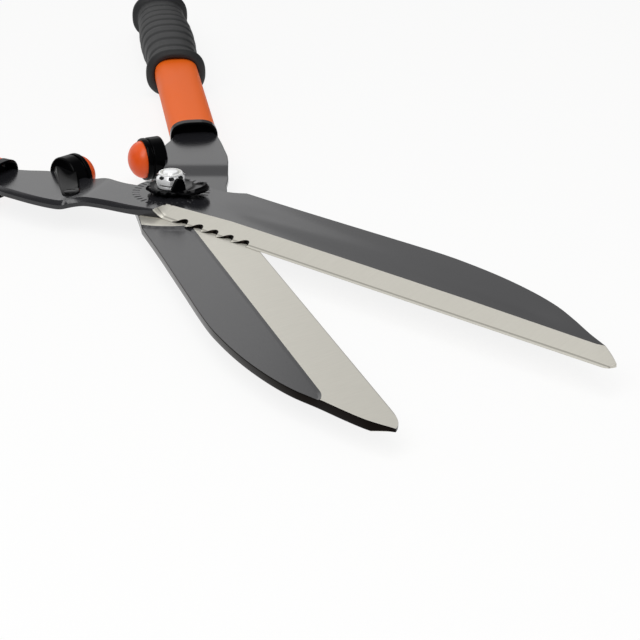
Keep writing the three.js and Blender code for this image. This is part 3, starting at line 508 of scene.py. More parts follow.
# A shallow groove along the face, between two shares of the way from the bevel to the back.
def grooveFall(kind, u, v):
    shares = np.array(member["backShares"] + kind["tipShares"])
    back = edgeLine + shears["bladeWidth"] * np.interp(u / kind["reach"], shares[:, 0], shares[:, 1])
    low = bevelLine(kind, u)
    near, far = member["grooveShares"]
    across = ramp((v - low) / np.maximum(back - low, 4), near, far - near)
    end = member["grooveEndShare"] * kind["reach"]
    inside = np.clip(np.minimum(u - member["grooveFrom"], end - u) / member["grooveRunOut"], 0, 1)
    return member["grooveDepth"] * np.sin(math.pi * across) ** 2 * np.sin(inside * math.pi / 2) ** 2


# Marks pressed round the pivot: short radial notches, V-shaped across.
def serrationFall(kind, u, v):
    radius, angle = np.hypot(u, v), np.arctan2(v, u)
    pitch = 2 * math.pi / kind["serrations"]
    aside = np.abs((angle / pitch) % 1 - 0.5) * pitch * radius
    rooms = radius - serration["inner"], serration["outer"] - radius
    begun, ending = (np.clip(2 * room, 0, 1) for room in rooms)
    return serration["depth"] * (begun * ending) * np.clip(1 - aside / serration["halfWidth"], 0, 1)


# Outer face: plate, less the ground bevel that falls to the edge, the groove, the marks and the drop.
def outerHeight(kind, u, v):
    fall = (plateTop - member["edgeLand"]) / (bevelLine(kind, u) - edgeLine)
    bevel = np.minimum(member["edgeLand"] + (v - edgeLine) * fall, plateTop)
    bevel = bevel - member["smallBevelDrop"] * np.clip(1 - (v - edgeLine) / member["smallBevel"], 0, 1)
    cut = ramp(u, member["bevelStart"], member["bevelRunOut"])
    height = plateTop - cut * (plateTop - bevel)
    if kind["serrations"]:
        height = height - grooveFall(kind, u, v) - serrationFall(kind, u, v)
    return height - dropAt(kind, u, v)


# How far inside the hollow of the mating face a place lies: behind the strip, the pad and the tip.
def hollowInset(kind, u, v):
    behindStrip = v - (member["stripWidth"] + edgeLine)
    beforeTip = member["hollowEndShare"] * kind["reach"] + member["hollowRound"] - u
    rounding = member["hollowRound"]
    corner = rounding - np.hypot(np.maximum(rounding - behindStrip, 0), np.maximum(rounding - beforeTip, 0))
    plain = np.minimum(behindStrip, beforeTip)
    inset = np.where((behindStrip < rounding) & (beforeTip < rounding), np.minimum(corner, plain), plain)
    fromPad = (np.hypot(u, v) - member["padRadius"]) * member["padEase"]
    return np.where(u < 0, np.minimum(inset, -1), np.minimum(inset, fromPad))


def matingFace(kind, u, v):
    depth = member["hollowDepth"] * np.clip(hollowInset(kind, u, v) / member["hollowSlope"], 0, 1)
    return depth - dropAt(kind, u, v)


# Lines on the mating face at one inset into the hollow: round the pad, along the strip, round the tip.
def hollowLine(kind, inset):
    line = member["stripWidth"] + edgeLine + inset
    radius = member["padRadius"] + inset / member["padEase"]
    end = member["hollowEndShare"] * kind["reach"] + member["hollowRound"] - inset
    rounding = member["hollowRound"] - inset
    pad = arcPoints((0, 0), radius, math.radians(80), math.asin(line / radius), 60)
    strip = np.column_stack([np.linspace(radius, end - rounding, 160)[1:], np.full(159, line)])
    corner = arcPoints((end - rounding, line + rounding), rounding, -math.pi / 2, 0, 16)[1:]
    rear = np.column_stack([np.full(30, end), np.linspace(line + rounding, 40, 30)])[1:]
    return np.vstack([pad, strip, corner, rear])


# Triangles of the plan inside the first loop and outside the others, with the feature lines as edges.
def planTriangles(loops, lines, scattered):
    points, edges = [], []
    count = 0
    for line, closed in [(loop, True) for loop in loops] + [(line, False) for line in lines]:
        index = np.arange(count, count + len(line))
        pairs = np.column_stack([index, np.roll(index, -1)])
        edges += (pairs if closed else pairs[:-1]).tolist()
        points.append(line)
        count += len(line)
    points = np.vstack(points + [scattered])
    found = planeGeometry.delaunay_2d_cdt([Vector(p) for p in points.tolist()], edges, [], 0, 1e-6)
    made = np.array([tuple(p) for p in found[0]])
    known = np.array([origins[0] if origins else -1 for origins in found[3]])
    made[known >= 0] = points[known[known >= 0]]
    loopEdges = sum(len(loop) for loop in loops)
    fences = {tuple(sorted(edge)) for edge, origins in zip(found[1], found[4])
              if min(origins, default=count) < loopEdges}
    return made, reachedFrom(np.array(found[2]), fences, made, loops)


# Triangles met from a large inner one without crossing a fence, so that thin ones on the outline are
# judged by their neighbours and the face is closed.
def reachedFrom(triangles, fences, points, loops):
    centres = points[triangles].mean(1)
    inner = insideLoop(centres, loops[0])
    for hole in loops[1:]:
        inner &= ~insideLoop(centres, hole)
    (ax, ay), (bx, by) = ((points[triangles[:, k]] - points[triangles[:, 0]]).T for k in (1, 2))
    start = int(np.argmax(np.abs(ax * by - ay * bx) * inner))
    sides = [[tuple(sorted(edge)) for edge in ((a, b), (b, c), (c, a))] for a, b, c in triangles.tolist()]
    owners = {}
    for index, edges in enumerate(sides):
        for edge in edges:
            owners.setdefault(edge, []).append(index)
    reached, waiting = {start}, [start]
    while waiting:
        for edge in sides[waiting.pop()]:
            if edge not in fences:
                fresh = [index for index in owners[edge] if index not in reached]
                reached.update(fresh)
                waiting += fresh
    return triangles[sorted(reached)]


# Each point's way inwards, square to the outline and lengthened at the corners.
def inwardWays(outline):
    ahead = np.roll(outline, -1, 0) - outline
    ahead = ahead / np.linalg.norm(ahead, axis=1)[:, None]
    both = ahead + np.roll(ahead, 1, 0)
    length = np.maximum(np.linalg.norm(both, axis=1), 1e-6)[:, None]
    normal = np.column_stack([-both[:, 1], both[:, 0]]) / length
    return normal / np.maximum(length / 2, 0.6)


# Rim between a face and the wall: a quarter ellipse, or a slope where the share says so.
def rimCurve(width, depth, slopeShare, steps):
    t = np.linspace(0, 1, steps + 1)[:, None]
    inset = width * ((1 - slopeShare) * (1 - np.sin(t * math.pi / 2)) + slopeShare * (1 - t))
    fall = depth * ((1 - slopeShare) * (1 - np.cos(t * math.pi / 2)) + slopeShare * t)
    return inset, fall


def averaged(values, reach):
    padded = np.concatenate([values[-reach:], values, values[:reach]])
    return np.convolve(padded, np.ones(2 * reach + 1) / (2 * reach + 1), mode="valid")


# A forged plate: two faces that are heights over the plan, joined by rims and a wall, with one round hole.
# Each side gives its height, its rim's width, depth and slope share at each outline point, its feature
# lines, and which way its rim falls.
def forgedPlate(kind, outline, hole, scatter, sides):
    ways = inwardWays(outline)
    faces, rimRows = [], []
    for height, rim, lines, sign in sides:
        inset, fall = rimCurve(*rim, member["rimSteps"])
        support = inset[:1] + member["rimSupport"] * np.minimum(rim[0] / member["fullSupport"], 1)
        inset, fall = np.vstack([support, inset]), np.vstack([fall[:1], fall])
        plan = outline[None] + ways[None] * inset[..., None]
        z = height(kind, plan[..., 0], plan[..., 1]) + sign * fall
        rimRows.append(np.concatenate([plan, z[..., None]], 2))
        inside = scatter[insideLoop(scatter, plan[0]) & ~insideLoop(scatter, hole)]
        apart = np.minimum(distanceTo(inside, plan[0]), distanceTo(inside, hole))
        inside = inside[apart > member["scatterClear"]]
        clipped = []
        for line in lines:
            clear = distanceTo(line, plan[0]) > member["lineClear"]
            kept = np.flatnonzero(insideLoop(line, plan[0]) & clear)
            runs = np.split(kept, np.flatnonzero(np.diff(kept) > 1) + 1)
            clipped += [line[run] for run in runs if len(run) > 1]
        points, triangles = planTriangles([plan[0], hole], clipped, inside)
        points = np.column_stack([points, height(kind, points[:, 0], points[:, 1])])
        faces.append((points, triangles if sign < 0 else triangles[:, ::-1]))
    rim = gridSurface(np.concatenate([rimRows[0], rimRows[1][::-1]]))
    top, low = (np.column_stack([hole, height(kind, *hole.T)]) for height, *_ in sides)
    return *faces, rim, gridSurface(np.stack([low, top]))


def gridOver(low, high, spacing):
    u, v = np.meshgrid(np.arange(low[0], high[0], spacing), np.arange(low[1], high[1], spacing * 0.866))
    return np.column_stack([(u + (np.arange(u.shape[0]) % 2)[:, None] * spacing / 2).ravel(), v.ravel()])


# Points at which the pressed marks are drawn: a few radii, and a few angles beside each mark's middle.
def serrationPoints(count):
    pitch = 2 * math.pi / count
    asides = np.array(serration["asides"]) * serration["halfWidth"] / serration["inner"]
    angles = ((np.arange(count) + 0.5)[:, None] * pitch + asides).ravel()
    radii = np.array(serration["radii"])[:, None]
    return np.stack([radii * np.cos(angles), radii * np.sin(angles)], -1).reshape(-1, 2)


# Bright and black faces are flagged as two face values that the steel reads; the black is forge scale and
# painted shade.
def makeForging(name, kind, material, node, body):
    outline, label, share = memberOutline(kind)
    keen, rim, (armWidth, armDepth) = member["keenRim"], member["rimWidth"], member["armRim"]
    sharp, inGullet = np.isin(label, ["edge", "gullet"]), label == "gullet"
    fade = np.where(label == "armOuter", np.clip((1 - share) * 4, 0, 1), 0)
    # The rims narrow at the tip's corner, where wide ones would cross
    fromTip = np.linalg.norm(outline - [kind["reach"], edgeLine + member["tipRise"]], axis=1)
    narrow = np.where(sharp, 1, np.clip(fromTip / member["tipNarrow"], 0.2, 1))
    outerWidth, outerDepth, matingWidth = (
        np.where(sharp, keen, averaged(np.where(sharp, keen, wide), 4)) * narrow
        for wide in (rim + (armWidth - rim) * fade, rim + (armDepth - rim) * fade, member["matingRim"]))
    slant = gullet["slant"] * np.sin(math.pi * share ** gullet["lean"])
    outerWidth = np.where(inGullet, keen + slant, outerWidth)
    thickness = outerHeight(kind, *outline.T) - matingFace(kind, *outline.T)
    outerDepth = np.where(inGullet, thickness - gullet["wall"], outerDepth)
    slopeShare = np.where(inGullet, gullet["slopeShare"], member["armSlope"] * fade)
    start, end = member["bevelStart"], member["bevelStart"] + member["bevelRunOut"]
    u = np.linspace(start, kind["reach"], 320)
    outerLines = [np.column_stack([u, line])
                  for line in (bevelLine(kind, u), 0 * u + edgeLine + member["smallBevel"])]
    for place in (start, end):
        v = np.linspace(edgeLine, bevelLine(kind, place), 12)[:-1]
        outerLines.append(np.column_stack([0 * v + place, v]))
    matingLines = [hollowLine(kind, inset) for inset in (0.0, member["hollowSlope"])]
    hole = arcPoints((0, 0), shears["boreRadius"], 0, 2 * math.pi, 96)[:-1]
    far = -armReach - member["tangLength"]
    scatter = [gridOver((far, -70), (kind["reach"], 30), member["wideSpacing"]),
               gridOver(*member["bendArea"], member["bendSpacing"])]
    if kind["serrations"]:
        low, high = serration["band"]
        scatter = [points[(np.hypot(*points.T) < low) | (np.hypot(*points.T) > high)] for points in scatter]
        scatter.append(serrationPoints(kind["serrations"]))
    surfaces = forgedPlate(kind, outline, hole, np.vstack(scatter), (
        (outerHeight, (outerWidth, outerDepth, slopeShare), outerLines, -1),
        (matingFace, (matingWidth, matingWidth, 0 * matingWidth), matingLines, 1)))
    outer, mating, onRim, inBore = (points[triangles].mean(1)[:, :2] for points, triangles in surfaces)

    def onBevel(centres):
        return (centres[:, 0] > start) & (centres[:, 1] < bevelLine(kind, centres[:, 0]))

    def onPad(centres):
        flat = hollowInset(kind, *centres.T) <= 0
        last, slanted, slant = member["padLast"]
        return flat & (centres[:, 0] > slanted - slant * centres[:, 1]) & (centres[:, 0] > last)

    # Rows 0 to 6 of the rim are the outer rim, 7 is the wall, and the rest is the mating rim
    rows, columns = np.divmod(surfaces[2][1][:, 0], len(outline))
    place = label[columns]
    # Painted shade with forge scale: gullet walls and the plain member's back, edge and boss walls are
    # blackened where the gaps look dark
    dark = (rows < 9) & (place == "gullet")
    if kind is plainMember:
        dark = (rows >= 6) & (rows <= 12) & np.isin(place, ["back", "edge", "boss"])
    bright = (onBevel(onRim) & (rows < 6)) | (onPad(onRim) & (rows > 8))
    bright |= (rows >= 6) & (rows <= 8) & (place == "edge")
    plain = [np.zeros(len(centres)) for centres in (outer, mating, inBore)]
    ground = np.concatenate([onBevel(outer), onPad(mating), bright & ~dark, plain[2]])
    scale = np.concatenate([*plain[:2], dark, plain[2]])
    points, triangles = together(*surfaces)
    return makePiece(name, (inPart(points, kind["side"]), triangles), body, material, [node],
                     faceValues=dict(ground=ground, forgeScaleAndShade=scale))


makeForging("toothedForging", toothedMember, upperSteel, "upper_blade", "upper_half")
makeForging("plainForging", plainMember, lowerSteel, "lower_blade", "lower_half")
print("stage: forgings")


# A profile of radius and height carried round the axis. An oval keeps the radius across and is flatter
# through by the same amount at every radius, so that nested walls keep their gap; its outline is a
# superellipse, squarer as the power grows.
def turned(profile, segments=120, flatter=0, power=2):
    angle = fullTurn(segments)
    radius, height = np.asarray(profile, float).T
    through = np.where(radius > 2 * flatter, radius - flatter, radius / 2)
    cos, sin = (np.sign(wave) * np.abs(wave) ** (2 / power) for wave in (np.cos(angle), np.sin(angle)))
    x, y = radius[:, None] * cos, through[:, None] * sin
    return gridSurface(np.stack([x, y, np.broadcast_to(height[:, None], x.shape)], -1))


# Bumpers: rubber dome in a black cup, with a foot along the arm held by a rivet
def onBumper(points, kind):
    x, y, z = points.T
    turn = -shears["closedHalfAngle"]
    cos, sin = math.cos(turn), math.sin(turn)
    along, out = x * cos - z * sin - bumper["reach"], x * sin + z * cos - kind["bumperSetBack"]
    return np.column_stack([along, out, -y])


def domeSurface():
    angle = np.linspace(0, math.pi / 2, 40)
    radius, plug, depth = bumper["domeRadius"], bumper["plugRadius"], bumper["plugDepth"]
    crown = np.column_stack([radius * np.sin(angle), bumper["domeHeight"] * np.cos(angle)])
    return turned(np.vstack([crown, [[radius, -0.2], [plug, -0.2], [plug, -depth], [0, -depth]]]))


# Cup: seat for the dome's plug, front lip, wall with a groove round it, rounded back.
def cupSurface():
    r, length, bend = bumper["holderRadius"], bumper["holderLength"], bumper["backRound"]
    lip, plug = (bumper[key] + bumper["clearance"] for key in ("domeRadius", "plugRadius"))
    plug, depth = plug + 0.05, bumper["plugDepth"] + 0.2
    top, low, groove = bumper["grooveFrom"], bumper["grooveTo"], r - bumper["grooveDepth"]
    angle = np.linspace(0, math.pi / 2, 16)
    back = np.column_stack([r - bend * (1 - np.cos(angle)), -length + bend * (1 - np.sin(angle))])
    front = eased([[plug, -depth], [plug, -0.35], [lip, -0.35], [lip, 0.35], [r - 0.35, 0.5], [r, -0.3],
                   [r, -top], [groove, -top - 0.2], [groove, 0.2 - low], [r, -low], back[0]], 0.45)
    return turned(np.vstack([[[0, -depth]], front, back[1:], [[0, -length]]]))


# The foot: a tongue on the arm that sweeps up into the cup's back. Its plan runs from the back disc, at
# share a of its half width, to the round end; its height is the tongue's thickness and, at the cup, the
# disc's own height, falling away steeply.
def footSurface(kind):
    reach, thickness = bumper["holderRadius"] - bumper["footNarrower"], bumper["footThickness"]
    back = kind["bumperSetBack"] + bumper["holderLength"]
    middle = -np.array([bumper["reach"], back - bumper["footInset"]])
    way = np.array(bumper["rivet"]) - middle
    a = np.sin(np.linspace(-math.pi / 2, math.pi / 2, 61))[None, :]
    t = np.linspace(0, 1, 61)[:, None] ** 1.3
    closed = shears["closedHalfAngle"]
    start = middle + a[..., None] * reach * np.array([math.cos(closed), -math.sin(closed)])
    turn = math.atan2(way[1], way[0]) + a * math.pi / 2
    end = np.array(bumper["rivet"]) + bumper["footBossRadius"] * np.stack([np.cos(turn), np.sin(turn)], -1)
    plan = start * (1 - t[..., None]) + end * t[..., None]
    base = outerHeight(kind, plan[..., 0], plan[..., 1]) + 0.1
    disc = np.sqrt(np.maximum(reach ** 2 - (a * reach) ** 2, 0)) - (plateTop - member["joggleDrop"])
    edge = (1 - np.abs(a) ** 4) ** 0.7 * (1 - t ** 9) ** 0.6
    rise = np.clip(disc - thickness, 0, bumper["sweepHeight"])
    z = base + thickness * edge + rise * (1 - t) ** bumper["footSweep"]
    # Both sheets share their outer edge, so together they are closed
    top, bottom = (np.concatenate([plan, height[..., None]], 2) for height in (z, base))
    return gridSurface(np.concatenate([top, bottom[::-1]]), closedRows=True, closedColumns=False)


# The rivet's head is domed; its other end is flush in the arm and lacquered over.
def rivetSurface():
    low, high = bumper["rivetLow"], bumper["rivetSeat"] + bumper["footThickness"]
    head, shank = bumper["rivetHead"], bumper["rivetRadius"]
    angle = np.linspace(0, 1, 10) * math.pi / 2
    top = np.column_stack([head * np.sin(angle), high + bumper["rivetRise"] * np.cos(angle)])
    shaft = [[head, high - 0.2], [shank, high - 0.2], [shank, low], [0, low]]
    points, triangles = turned(np.vstack([top, shaft]), 48)
    return points + [*bumper["rivet"], 0], triangles


for prefix, kind in (("upper", toothedMember), ("lower", plainMember)):
    domePoints, domeTriangles = domeSurface()
    cupPoints, cupTriangles = cupSurface()
    bumperPieces = (
        ("Dome", (onBumper(domePoints, kind), domeTriangles), "mouldedOrangeRubber", "orange_rubber", "dome"),
        ("BumperCup", closedParts((onBumper(cupPoints, kind), cupTriangles), footSurface(kind)),
         "mouldedBlackNylon", "black_plastic", "holder"),
        ("BumperRivet", rivetSurface(), "blackLacqueredSteel", "black_steel", "rivet"),
    )
    for name, (points, triangles), look, slotName, node in bumperPieces:
        makePiece(prefix + name, (inPart(points, kind["side"]), triangles), prefix + "_half", finish[look],
                  [prefix + "_bumper_" + node], 30)
print("stage: bumpers")

# Handles: collar, tube, grip and cap, all oval round one axis
handle = dict(collarProud=0.3, collarLip=5, collarWall=1.2, collarSleeve=16, tubeWall=1.3, gap=0.3,
              gripLength=120, gripHalfWidth=14.4, gripFlange=2, gripFlangeLength=7, gripWaist=1,
              gripGrooves=9, grooveDepth=0.7, capThickness=3.2, plugLength=14, slack=0.2,
              plugWall=1.8, plugHollow=3, lidEdge=1.4, lidSlope=3,
              tubeFlatter=3.3, tubePower=2.9, gripFlatter=2.7, gripPower=2.4)
tubeHalf = shears["tubeWidth"] / 2
tubeBore = tubeHalf - handle["tubeWall"]


def collarSurface():
    outside = tubeHalf + handle["collarProud"]
    lip, wall = handle["collarLip"], handle["collarWall"]
    mouth, sleeve, end = outside - wall, tubeBore - handle["slack"], lip + handle["collarSleeve"]
    line = eased([[0, lip - wall], [mouth - wall, lip - wall], [mouth - 0.3, 0.4], [mouth + 0.2, 0],
                  [outside, 0.2], [outside, lip], [sleeve, lip], [sleeve, end], [0, end]], 0.4)
    return turned(line, 200, handle["tubeFlatter"], handle["tubePower"])


# The tube's section starts and ends at the middle of its inner wall, as the rings' do further down.
def tubeSurface():
    start, end = handle["collarLip"] + 0.1, handleLength - handle["gap"]
    middle = (start + end) / 2
    line = eased([[tubeBore, middle], [tubeBore, start], [tubeHalf, start], [tubeHalf, middle],
                  [tubeHalf, end], [tubeBore, end], [tubeBore, middle]], 0.3)
    return turned(line, 200, handle["tubeFlatter"], handle["tubePower"])


# Grip: a flange at each end and shallow grooves between, on a body that is waisted as one wave.
def gripSurface():
    bore, half, count = tubeHalf + 0.15, handle["gripHalfWidth"], handle["gripGrooves"]
    crest, flange, groove = half + handle["gripFlange"], handle["gripFlange"], handle["grooveDepth"]
    start, end = handleLength - handle["gripLength"], handleLength - handle["gap"]
    first, last = start + handle["gripFlangeLength"], end - handle["gripFlangeLength"]
    pitch = (last - first) / count
    line = [[bore, end], [bore, start], [half, start], [crest, start + flange], [crest, first - flange]]
    for index in range(count):
        at = first + index * pitch
        waist = half - handle["gripWaist"] * math.cos(2 * math.pi * (index + 0.5) / count)
        line += [[waist - groove, at], [waist, at + pitch * 0.2], [waist, at + pitch * 0.8]]
    line += [[half - groove, last], [crest, last + flange], [crest, end - flange], [half, end], [bore, end]]
    return turned(eased(line, 1.2), 160, handle["gripFlatter"], handle["gripPower"])


# Cap: a hollow-edged plug in the tube and a rimmed lid over its end.
def capSurface():
    rim, plug = handle["gripHalfWidth"] - 0.2, tubeBore - handle["slack"]
    low, top = handleLength - handle["plugLength"], handleLength + handle["capThickness"]
    wall, base = plug - handle["plugWall"], handleLength - handle["plugHollow"]
    line = eased([[0, base], [wall, base], [wall, low], [plug, low], [plug, handleLength],
                  [rim, handleLength], [rim, handleLength + handle["lidEdge"]],
                  [rim - handle["lidSlope"], top], [0, top]], 1.2)
    return turned(line, 160, handle["gripFlatter"], handle["gripPower"])


handlePieces = (
    ("Collar", collarSurface, "mouldedBlackNylon", "black_plastic", "_collar"),
    ("Tube", tubeSurface, "orangeLacqueredTube", "orange_paint", "_tube"),
    ("Grip", gripSurface, "mouldedGripRubber", "grip_rubber", "_grip"),
    ("EndCap", capSurface, "mouldedBlackNylon", "black_plastic", "_end_cap"),
)
for prefix, side in (("upper", 1), ("lower", -1)):
    for name, surface, look, slotName, node in handlePieces:
        points, triangles = surface()
        makePiece(prefix + name, (inPart(onHandle(points), side), triangles), prefix + "_half", finish[look],
                  [prefix + node], 30)
    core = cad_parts[prefix + "_tang_core"]
    core.data.materials.clear()
    core.data.materials.append(finish["mouldedBlackNylon"])
print("stage: handles")

# Pivot: hexagon bolt and nut, washers, nylon ring and the lock plate under the nut
pivot = dict(headHeight=5.3, washerRadius=9, washerThickness=1.6, nutWasherRadius=6.5, nutWasherThickness=1.4,
             nutHeight=5.4, nutCollarRadius=5.7, nutShoulder=1.1, insertRadius=4.9, insertDepth=1.4,
             crownRadius=6.1, coneFall=0.72, dentDepth=0.5, dentWidth=0.16,
             boltRadius=4, boltEndProud=0.4, nutTurn=math.radians(-18.8), hexHalf=6.5,
             marks=8, markTurn=math.radians(-43), markHalfWidth=1.4, markHalfHeight=0.75, markFall=0.25,
             gapHeight=0.72)
lock = dict(thickness=1.4, hubRise=1.4, hubRadius=8.4, plateRadius=10.8, notches=14, notchDepth=1.5,
            earReach=13, earAngle=math.radians(-104), earHalfAngle=0.34, earLift=1.8,
            leverReach=19.6, leverHalfWidth=7.4, leverAngle=math.radians(16), leverRise=1.4,
            beadRise=(0.8, 1.6), beadInset=1.5, beadHalf=0.9, dish=0.55,
            # Where a form begins and the run over which it grows, by radius
            dishFrom=(7.4, 2.6), dishTo=(12, 2), leverFrom=(11, 8), beadEndFrom=(13, 6), earFrom=(8, 5),
            hubRun=0.9, leverRim=(12.4, 3.0), leverThicker=0.3, earPull=1.8, rimRound=0.5,
            tabHeight=6.2, tabHalfWidth=3.8, tabTopWidth=2.6, tabRoot=1.2)
lockBottom = plateTop + shears["slideGap"]
lockTop = lockBottom + lock["hubRise"] + lock["thickness"]
nutBottom = lockTop + pivot["nutWasherThickness"] + 2 * shears["slideGap"]
nutTop = nutBottom + pivot["nutHeight"]
headLow = -shears["matingHeight"]


# Radius of a hexagon towards each angle, flats half the size across from the axis.
def hexRadius(angle, half):
    return half / np.cos((angle + math.pi / 6) % (math.pi / 3) - math.pi / 6)


# Rows of radius and height carried round the axis; each is one number, or one for every angle.
def aroundAxis(angle, rows, closed=False):
    radius, height = (np.array([value + 0 * angle for value in values]) for values in zip(*rows))
    points = np.stack([radius * np.cos(angle), radius * np.sin(angle), height], -1)
    return gridSurface(points, closedRows=closed)


# A round ring of rectangular section with eased corners.
def ringSurface(inner, outer, low, top, trim=0.3):
    middle = (inner + outer) / 2
    return turned(eased([[middle, low], [outer, low], [outer, top], [middle, top], [inner, top], [inner, low],
                         [middle, low]], trim), 96)


def washerSurface(radius, low, thickness):
    return ringSurface(shears["boreRadius"] + 0.3, radius, low, low + thickness)


def insertSurface():
    return ringSurface(shears["boreRadius"] + 0.06, pivot["insertRadius"] - 0.06,
                       nutTop - pivot["insertDepth"] + 0.06, nutTop - 0.06, 0.2)


# Rows of the nut: bore, under face, hexagon wall, crown cone with its dents, collar with the ring's seat.
def nutSurface():
    angle = fullTurn(288)
    half, crown = pivot["hexHalf"], pivot["crownRadius"]
    wide = hexRadius(angle - pivot["nutTurn"], half)
    shoulder, top = nutTop - pivot["nutShoulder"], nutTop
    collar, bore, seat = pivot["nutCollarRadius"], shears["boreRadius"] + 0.1, pivot["insertRadius"] + 0.05
    wallTop = shoulder - pivot["coneFall"] * np.maximum(wide - crown, 0)
    wallLow = nutBottom + 0.4 + 0.5 * np.maximum(wide - half - 0.1, 0)
    aside = ((angle - pivot["markTurn"]) / (2 * math.pi / pivot["marks"]) + 0.5) % 1 - 0.5
    dents = pivot["dentDepth"] * np.exp(-(aside / pivot["dentWidth"]) ** 2)
    rows = [(bore, nutBottom), (half - 0.6, nutBottom), (wide - 0.12, wallLow), (wide, wallLow + 0.15),
            (wide, wallLow + 0.35)]
    rows += [(wide, wallTop - 0.2 - (wallTop - 0.35 - wallLow) * t) for t in (0.4, 0.32, 0.24, 0.16, 0.08, 0)]
    rows += [(wide - 0.05, wallTop - 0.05), (wide - 0.18, wallTop + 0.06)]
    for t in np.linspace(0.1, 1, 12):
        rows.append((wide - 0.18 + (crown - wide + 0.18) * t,
                     wallTop + 0.06 + (shoulder - wallTop - 0.06) * t - dents * math.sin(math.pi * t)))
    floor = top - pivot["insertDepth"]
    rows += [(collar + 0.25, shoulder + 0.05), (collar, shoulder + 0.35), (collar, top - 0.5),
             (collar - 0.15, top - 0.15), (collar - 0.4, top), (seat, top), (seat, floor), (bore, floor)]
    return aroundAxis(angle, rows, closed=True)


# Painted shade on the nut: a dark ellipse of angle and height over each dent punched round the crown,
# standing in for its dark reflection, and a painted shadow on the chamfer underneath
def nutPaintedShade(points, triangles):
    x, y, z = points[triangles].mean(1).T
    radius, angle = np.hypot(x, y), np.arctan2(y, x)
    pitch = 2 * math.pi / pivot["marks"]
    aside = (((angle - pivot["markTurn"]) / pitch + 0.5) % 1 - 0.5) * pitch * radius
    fall = nutTop - pivot["nutShoulder"] - z - pivot["markFall"]
    mark = (aside / pivot["markHalfWidth"]) ** 2 + (fall / pivot["markHalfHeight"]) ** 2 < 1
    return (mark | (z < nutBottom + pivot["gapHeight"])) & (radius > pivot["nutCollarRadius"])


# Bolt: chamfered hexagon head and round shank with a chamfered end
def boltSurface():
    angle = fullTurn(240)
    wide, r = hexRadius(angle, pivot["hexHalf"]), pivot["boltRadius"]
    crown, faceTop = pivot["hexHalf"] - 0.3, headLow + pivot["headHeight"]
    low = headLow + 0.55 * np.maximum(wide - crown, 0)
    end = nutTop + pivot["boltEndProud"]
    return aroundAxis(angle, [
        (0, headLow), (crown - 0.3, headLow), (crown, headLow), (wide - 0.1, low - 0.05), (wide, low + 0.12),
        (wide, faceTop - 0.25), (wide - 0.2, faceTop - 0.03), (crown - 0.5, faceTop), (r, faceTop),
        (r, end - 0.9), (r - 0.1, end - 0.7), (r - 0.7, end - 0.05), (r - 0.9, end), (0, end)])


# Lock plate: for each angle a closed profile from the bore out over the dished top, round the rim and
# back under the hub. The rim is notched, with a pointed ear and a broad lever whose end and sides rise.
def lockSurface():
    angle = fullTurn(900)
    fromEar, aside = (np.abs((angle - lock[key] + math.pi) % (2 * math.pi) - math.pi)
                      for key in ("earAngle", "leverAngle"))
    notch = 0.5 + 0.5 * np.cos(angle * lock["notches"])
    base = lock["plateRadius"] + lock["rimRound"] - lock["notchDepth"] * notch ** 3
    nearEar = np.clip(1 - fromEar / lock["earHalfAngle"], 0, 1)
    ear = lock["plateRadius"] - 1 + (lock["earReach"] + lock["earPull"] - lock["plateRadius"]) * nearEar
    # Lever towards each angle: straight sides, and a round end about the centre
    half, reach = lock["leverHalfWidth"], lock["leverReach"]
    centre = reach - half
    bend = centre * np.cos(aside) + np.sqrt(np.maximum(half ** 2 - (centre * np.sin(aside)) ** 2, 0))
    atEnd = (bend * np.cos(aside) > centre) & (centre * np.sin(aside) < half)
    straight = np.minimum(half / np.maximum(np.sin(aside), 1e-3), reach)
    lever = np.where(aside < 1.5, np.where(atEnd, bend, straight), 0)
    rim = np.maximum(np.maximum(base, ear), np.minimum(lever, reach))
    onLever = ramp(rim, *lock["leverRim"])
    bore = shears["boreRadius"] + 0.15
    t = np.concatenate([[0], np.linspace(0.06, 0.94, 22), [0.97, 1.0]])[:, None]
    radius = bore + (rim - lock["rimRound"] - bore) * t
    last, fading = lock["dishTo"]
    dish = lock["dish"] * ramp(radius, *lock["dishFrom"]) ** 1.5 * np.clip((last - radius) / fading, 0, 1)
    bead = np.exp(-((rim - radius - lock["beadInset"]) / lock["beadHalf"]) ** 2)
    side, end = lock["beadRise"]
    lift = lock["leverRise"] * ramp(radius, *lock["leverFrom"])
    lift = lift + onLever * (side + end * ramp(radius, *lock["beadEndFrom"])) * bead
    lift = lift + lock["earLift"] * nearEar * ramp(radius, *lock["earFrom"]) ** 1.5
    top = lockTop + dish + lift
    thick = lock["thickness"] + lock["leverThicker"] * onLever
    bulge = np.linspace(0, math.pi, 9)[1:-1, None]
    rimRadius = rim - lock["rimRound"] + lock["rimRound"] * np.sin(bulge)
    rimHeight = top[-1] - thick / 2 + thick / 2 * np.cos(bulge)
    under = ramp(radius[::-1], lock["hubRadius"], lock["hubRun"])
    low = lockBottom + (top[::-1] - thick - lockBottom) * under
    rows = zip([*radius, *rimRadius, *radius[::-1]], [*top, *rimHeight, *low])
    return aroundAxis(angle, rows, closed=True)


